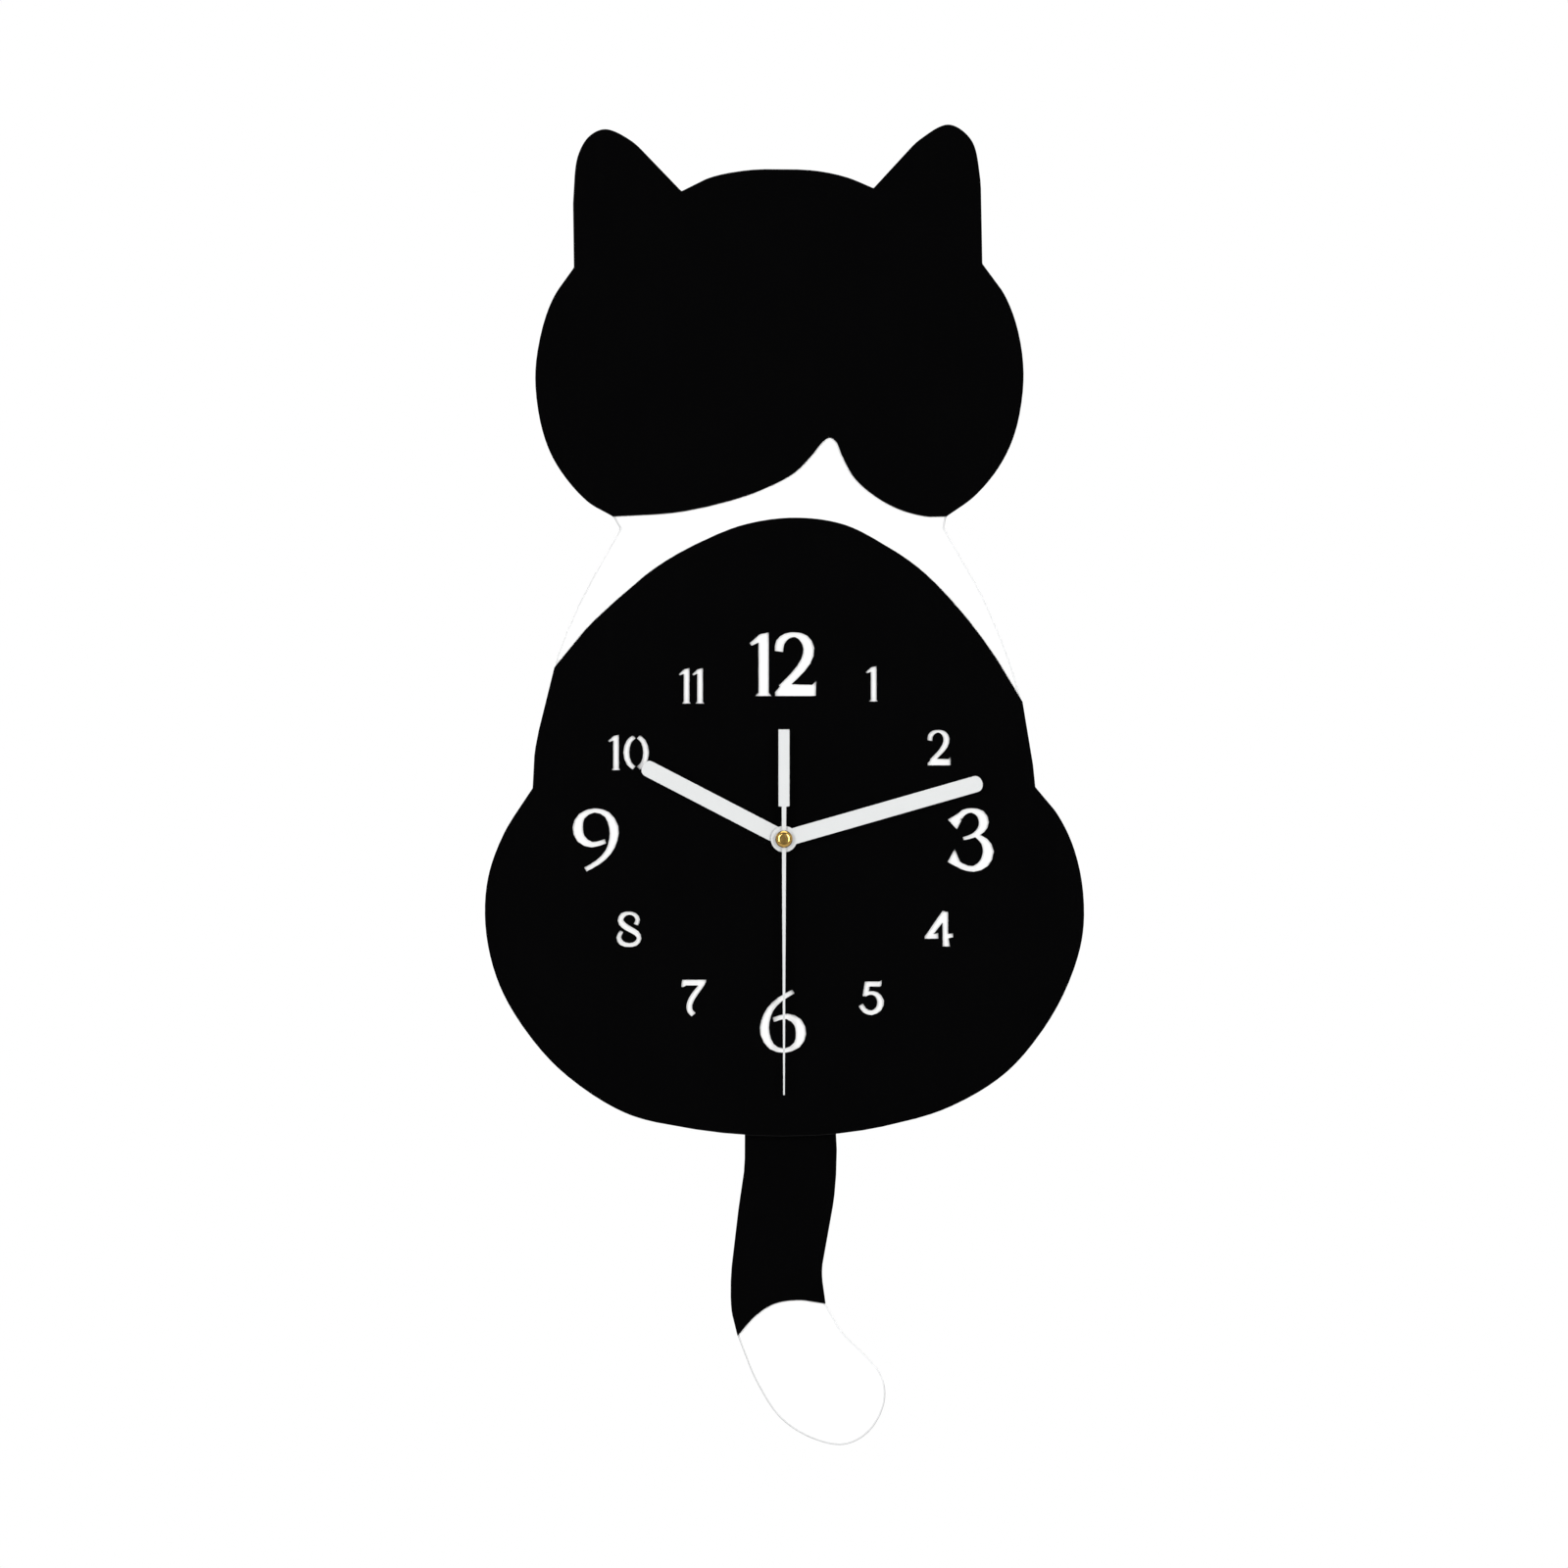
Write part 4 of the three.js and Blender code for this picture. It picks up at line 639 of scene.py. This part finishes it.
# ---------- case screws ----------
def case_screw(node):
    """A pan-head screw with a tapered cross recess and a thread."""
    length = depth_of(node, 1)
    head, shank, root = 1.8, 0.9, 0.66
    under = length - 0.6
    pitch, plain_tip, plain_ends = 0.55, 0.8, 1.0
    thread = []
    for i in range(int((under - plain_ends) / pitch)):
        thread += [(root, plain_tip + i * pitch), (shank, plain_tip + (i + 0.5) * pitch)]
    profile = [(0, 0), (0.3, 0.35), *thread, (root, under - 0.1), (shank, under), (head - 0.1, under),
               (head, under + 0.12), (head, length - 0.22), (head - 0.35, length - 0.06), (0.9, length),
               (0, length)]
    tip = at(node, y=0)
    screw = placed(node.replace("drive_case", "pan_head"), lathe(profile, 48), tip, BACK)
    arm, half, recess, past, taper = 1.0, 0.26, 0.42, 0.2, 0.7
    cross = [(arm, -half), (arm, half), (half, half), (half, arm), (-half, arm), (-half, half),
             (-arm, half), (-arm, -half), (-half, -half), (-half, -arm), (half, -arm), (half, -half)]
    carve(screw, prism(cross, length - recess, length + past, taper), tip, BACK)
    finished(screw, STEEL, "clock_body")
    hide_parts(node)


# ---------- small round parts inside the cases ----------
def round_parts():
    """Both magnets and the pivot pin, the crystal's can and the two coil windings."""
    edge = 0.15
    for node, name, body, inner, outer, material, slot in (
            ("rotor_magnet", "rotor_ring_magnet", "rotor", 0.75, 3.0, MAGNET, "magnet"),
            ("arm_magnet", "arm_disc_magnet", "pendulum", 0, 3.0, MAGNET, "magnet"),
            ("pivot_pin", "ground_pivot_pin", "clock_body", 0, 1.0, STEEL, "steel")):
        profile = chamfered(inner, outer, depth_of(node, 1), edge)
        part = turned(name, profile, at(node, y=1), FRONT, material, body)
        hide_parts(node)
    crystal = depth_of("quartz_crystal", 0)
    can = [(0, 0), (0.9, 0), (0.9, 0.35), (0.8, 0.45), (0.8, crystal - 0.25), (0.6, crystal), (0, crystal)]
    part = turned("crystal_can", can, at("quartz_crystal", x=0), RIGHT, STEEL, "clock_body", 40)
    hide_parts("quartz_crystal")
    bore, drive_reach, drive_turns, time_reach, time_turns = 2.2, 6.0, 14, 3.2, 80
    profile = wound(bore, drive_reach, depth_of("drive_coil", 1), drive_turns)
    coil = turned("drive_coil_winding", profile, at("drive_coil", y=1), FRONT, DRIVE_COIL_WIRE, "clock_body")
    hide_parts("drive_coil")
    profile = wound(bore, time_reach, depth_of("coil_winding", 2), time_turns)
    coil = turned("time_coil_winding", profile, at("coil_winding", z=0), UP, COIL_WIRE, "clock_body",
                  48)
    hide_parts("coil_winding")


# ---------- coil leads and solder ----------
LEAD_RADIUS = 0.07 * MM


def lead(name, points):
    """A fine enamelled wire through the given places, made as a mesh tube."""
    data = bpy.data.curves.new(name, "CURVE")
    data.dimensions = "3D"
    data.bevel_depth = LEAD_RADIUS
    data.bevel_resolution = 3
    data.resolution_u = 10
    data.use_fill_caps = True
    run = data.splines.new("BEZIER")
    run.bezier_points.add(len(points) - 1)
    for knot, place in zip(run.bezier_points, points):
        knot.co = place
        knot.handle_left_type = "AUTO"
        knot.handle_right_type = "AUTO"
    guide = bpy.data.objects.new(name + "_guide", data)
    bpy.context.scene.collection.objects.link(guide)
    mesh = bpy.data.meshes.new_from_object(guide.evaluated_get(bpy.context.evaluated_depsgraph_get()))
    bpy.data.objects.remove(guide)
    piece = bpy.data.objects.new(name, mesh)
    bpy.context.scene.collection.objects.link(piece)
    finished(piece, LEAD_WIRE, "clock_body", 60)


def solder(name, place, direction):
    """A low drop with a broad foot."""
    drop = [(0, 0), (0.75, 0), (0.7, 0.12), (0.45, 0.34), (0.2, 0.5), (0, 0.54)]
    turned(name, drop, place, direction, SOLDER, "clock_body", 24)


def drive_coil_leads():
    """Two wires from the drive's coil round the edge of its board to the pads on the board's face."""
    coil = middle("drive_coil")
    board = at("drive_board", x=1, y=0)
    for i, (below, pad_z) in enumerate(((3.2, -4.2), (5.2, -6.4))):
        pad = Vector((board.x - 1.6 * MM, board.y - 0.02 * MM, coil.z + pad_z * MM))
        start = coil + Vector((-5.2, 0.2, -below * 0.5)) * MM
        bend = Vector((coil.x - 9.5 * MM, coil.y - 0.4 * MM, coil.z - below * MM))
        rise = Vector((board.x + 1.2 * MM, (pad.y + coil.y) / 2, pad.z))
        lead(f"drive_coil_lead_{i + 1}", [start, bend, rise, pad + Vector((0, -0.3, 0)) * MM])
        solder(f"drive_solder_{i + 1}", pad, FRONT)


def time_coil_leads():
    """Two wires from the top of the movement's coil to the rear face of its board."""
    top = at("coil_winding", z=1)
    board_corner = at("circuit_board", x=0, y=1, z=1)
    for i, (along, drop) in enumerate(((1.4, -1.4), (1.4, -3.8))):
        pad = board_corner + Vector((along, 0.02, drop)) * MM
        start = top + Vector((1.0 + i, 2.6, -0.5 - i)) * MM
        rise = start + Vector((4.0, 0.6, 3.0)) * MM
        bend = Vector(((top.x + pad.x) / 2, pad.y + 0.9 * MM, pad.z - 0.6 * MM))
        lead(f"time_coil_lead_{i + 1}", [start, rise, bend, pad + Vector((0, 0.3, 0)) * MM])
        solder(f"time_solder_{i + 1}", pad, BACK)


second_hand_cap()
clamp_nut()
clamp_washer()
cells()
for number in (1, 2, 3):
    case_screw(f"drive_case_screw_{number}")
round_parts()
drive_coil_leads()
time_coil_leads()

# ---------- stage, lights and camera ----------
BACKDROP = 0.72              # brightness of the backdrop round the clock
FLOOR_HEIGHT = -0.8
FLOOR_REACH = 1.7
FADE_START = 0.3             # shares of the floor's reach between which it fades into the backdrop
FADE_END = 0.97
LIT_FROM = (-0.96, -0.5, 0.01, 0.62)         # the world's light: from Y, to Y, and its strength at each
SEEN_BEHIND = (0.9, 0.985, BACKDROP, 1.0)    # the backdrop that the camera sees, in the same way
PICTURE_SPAN = 0.6163        # width of the view at the dial
PICTURE_RISE = 0.0216        # how far the middle of the view is above the hand axis
CAMERA_DISTANCE = 4.0
VIEW_REACH = 50.0
SENSOR = 36.0
AIM = (0.0, 0.0, -0.02)
LIGHTS = (
    ("key_left", (-0.95, -2.75, 0.25), (0.7, 1.4), 44.0),
    ("key_right", (0.95, -2.75, 0.25), (0.7, 1.4), 44.0),
    ("top", (0.0, -0.4, 1.8), (1.6, 1.0), 14.0),
    ("rear_left", (-1.5, 1.4, 0.6), (1.0, 1.4), 10.0),
    ("rear_right", (1.5, 1.4, 0.6), (1.0, 1.4), 10.0),
)


def area_light(name, place, size, power):
    data = bpy.data.lights.new(name, "AREA")
    data.shape = "RECTANGLE"
    data.size, data.size_y = size
    data.energy = power
    lamp = bpy.data.objects.new(name, data)
    lamp.location = place
    lamp.rotation_euler = (Vector(AIM) - Vector(place)).to_track_quat("-Z", "Y").to_euler()
    bpy.context.scene.collection.objects.link(lamp)


def floor():
    """A round pale floor that fades into the backdrop at its rim."""
    work = bmesh.new()
    bmesh.ops.create_circle(work, cap_ends=True, segments=96, radius=FLOOR_REACH)
    piece = placed("floor", work, Vector((0, 0, FLOOR_HEIGHT)), UP)
    n = Nodes("floor")
    x, y = n.axis("X"), n.axis("Y")
    out = n.math("SQRT", n.math("ADD", n.math("MULTIPLY", x, x), n.math("MULTIPLY", y, y)))
    n.colour(n.mixed(n.noise(3.0), (0.56, 0.56, 0.56), (0.6, 0.6, 0.6)))
    n.rough(n.between(n.noise(20.0), 0.6, 0.75))
    rim = n.add("ShaderNodeEmission")
    rim.inputs["Strength"].default_value = BACKDROP
    blend = n.add("ShaderNodeMixShader")
    fade = n.between(out, 0.0, 1.0, FLOOR_REACH * FADE_START, FLOOR_REACH * FADE_END)
    n.join(fade, blend.inputs["Fac"])
    n.join(n.shader.outputs["BSDF"], blend.inputs[1])
    n.join(rim.outputs["Emission"], blend.inputs[2])
    n.join(blend.outputs["Shader"], n.output.inputs["Surface"])
    piece.data.materials.append(n.material)


def studio_world():
    """A white backdrop straight behind the clock and a pale one elsewhere. The light comes from all round,
    but hardly from straight ahead of the dial, so that black gloss stays black from the front."""
    world = bpy.data.worlds.new("studio")
    world.use_nodes = True
    tree = world.node_tree
    tree.nodes.clear()
    output = tree.nodes.new("ShaderNodeOutputWorld")
    mix = tree.nodes.new("ShaderNodeMixShader")
    rays = tree.nodes.new("ShaderNodeLightPath")
    seen = tree.nodes.new("ShaderNodeBackground")
    light = tree.nodes.new("ShaderNodeBackground")
    where = tree.nodes.new("ShaderNodeTexCoord")
    split = tree.nodes.new("ShaderNodeSeparateXYZ")
    tree.links.new(where.outputs["Generated"], split.inputs[0])
    for background, ramp in ((light, LIT_FROM), (seen, SEEN_BEHIND)):
        strength = tree.nodes.new("ShaderNodeMapRange")
        strength.interpolation_type = "SMOOTHSTEP"
        for key, value in zip(("From Min", "From Max", "To Min", "To Max"), ramp):
            strength.inputs[key].default_value = value
        background.inputs["Color"].default_value = (1, 1, 1, 1)
        tree.links.new(split.outputs["Y"], strength.inputs["Value"])
        tree.links.new(strength.outputs["Result"], background.inputs["Strength"])
    tree.links.new(rays.outputs["Is Camera Ray"], mix.inputs["Fac"])
    tree.links.new(light.outputs[0], mix.inputs[1])
    tree.links.new(seen.outputs[0], mix.inputs[2])
    tree.links.new(mix.outputs[0], output.inputs["Surface"])
    bpy.context.scene.world = world


def camera():
    """Level and straight in front of the dial."""
    data = bpy.data.cameras.new("camera")
    data.sensor_width = SENSOR
    data.lens = SENSOR * CAMERA_DISTANCE / PICTURE_SPAN
    data.clip_end = VIEW_REACH
    piece = bpy.data.objects.new("camera", data)
    piece.location = (AXIS.x, DIAL_Y - CAMERA_DISTANCE, AXIS.z + PICTURE_RISE)
    piece.rotation_euler = (math.radians(90), 0, 0)
    bpy.context.scene.collection.objects.link(piece)
    bpy.context.scene.camera = piece


for name, place, size, power in LIGHTS:
    area_light(name, place, size, power)
floor()
studio_world()
camera()
bpy.context.scene.view_settings.view_transform = "Standard"
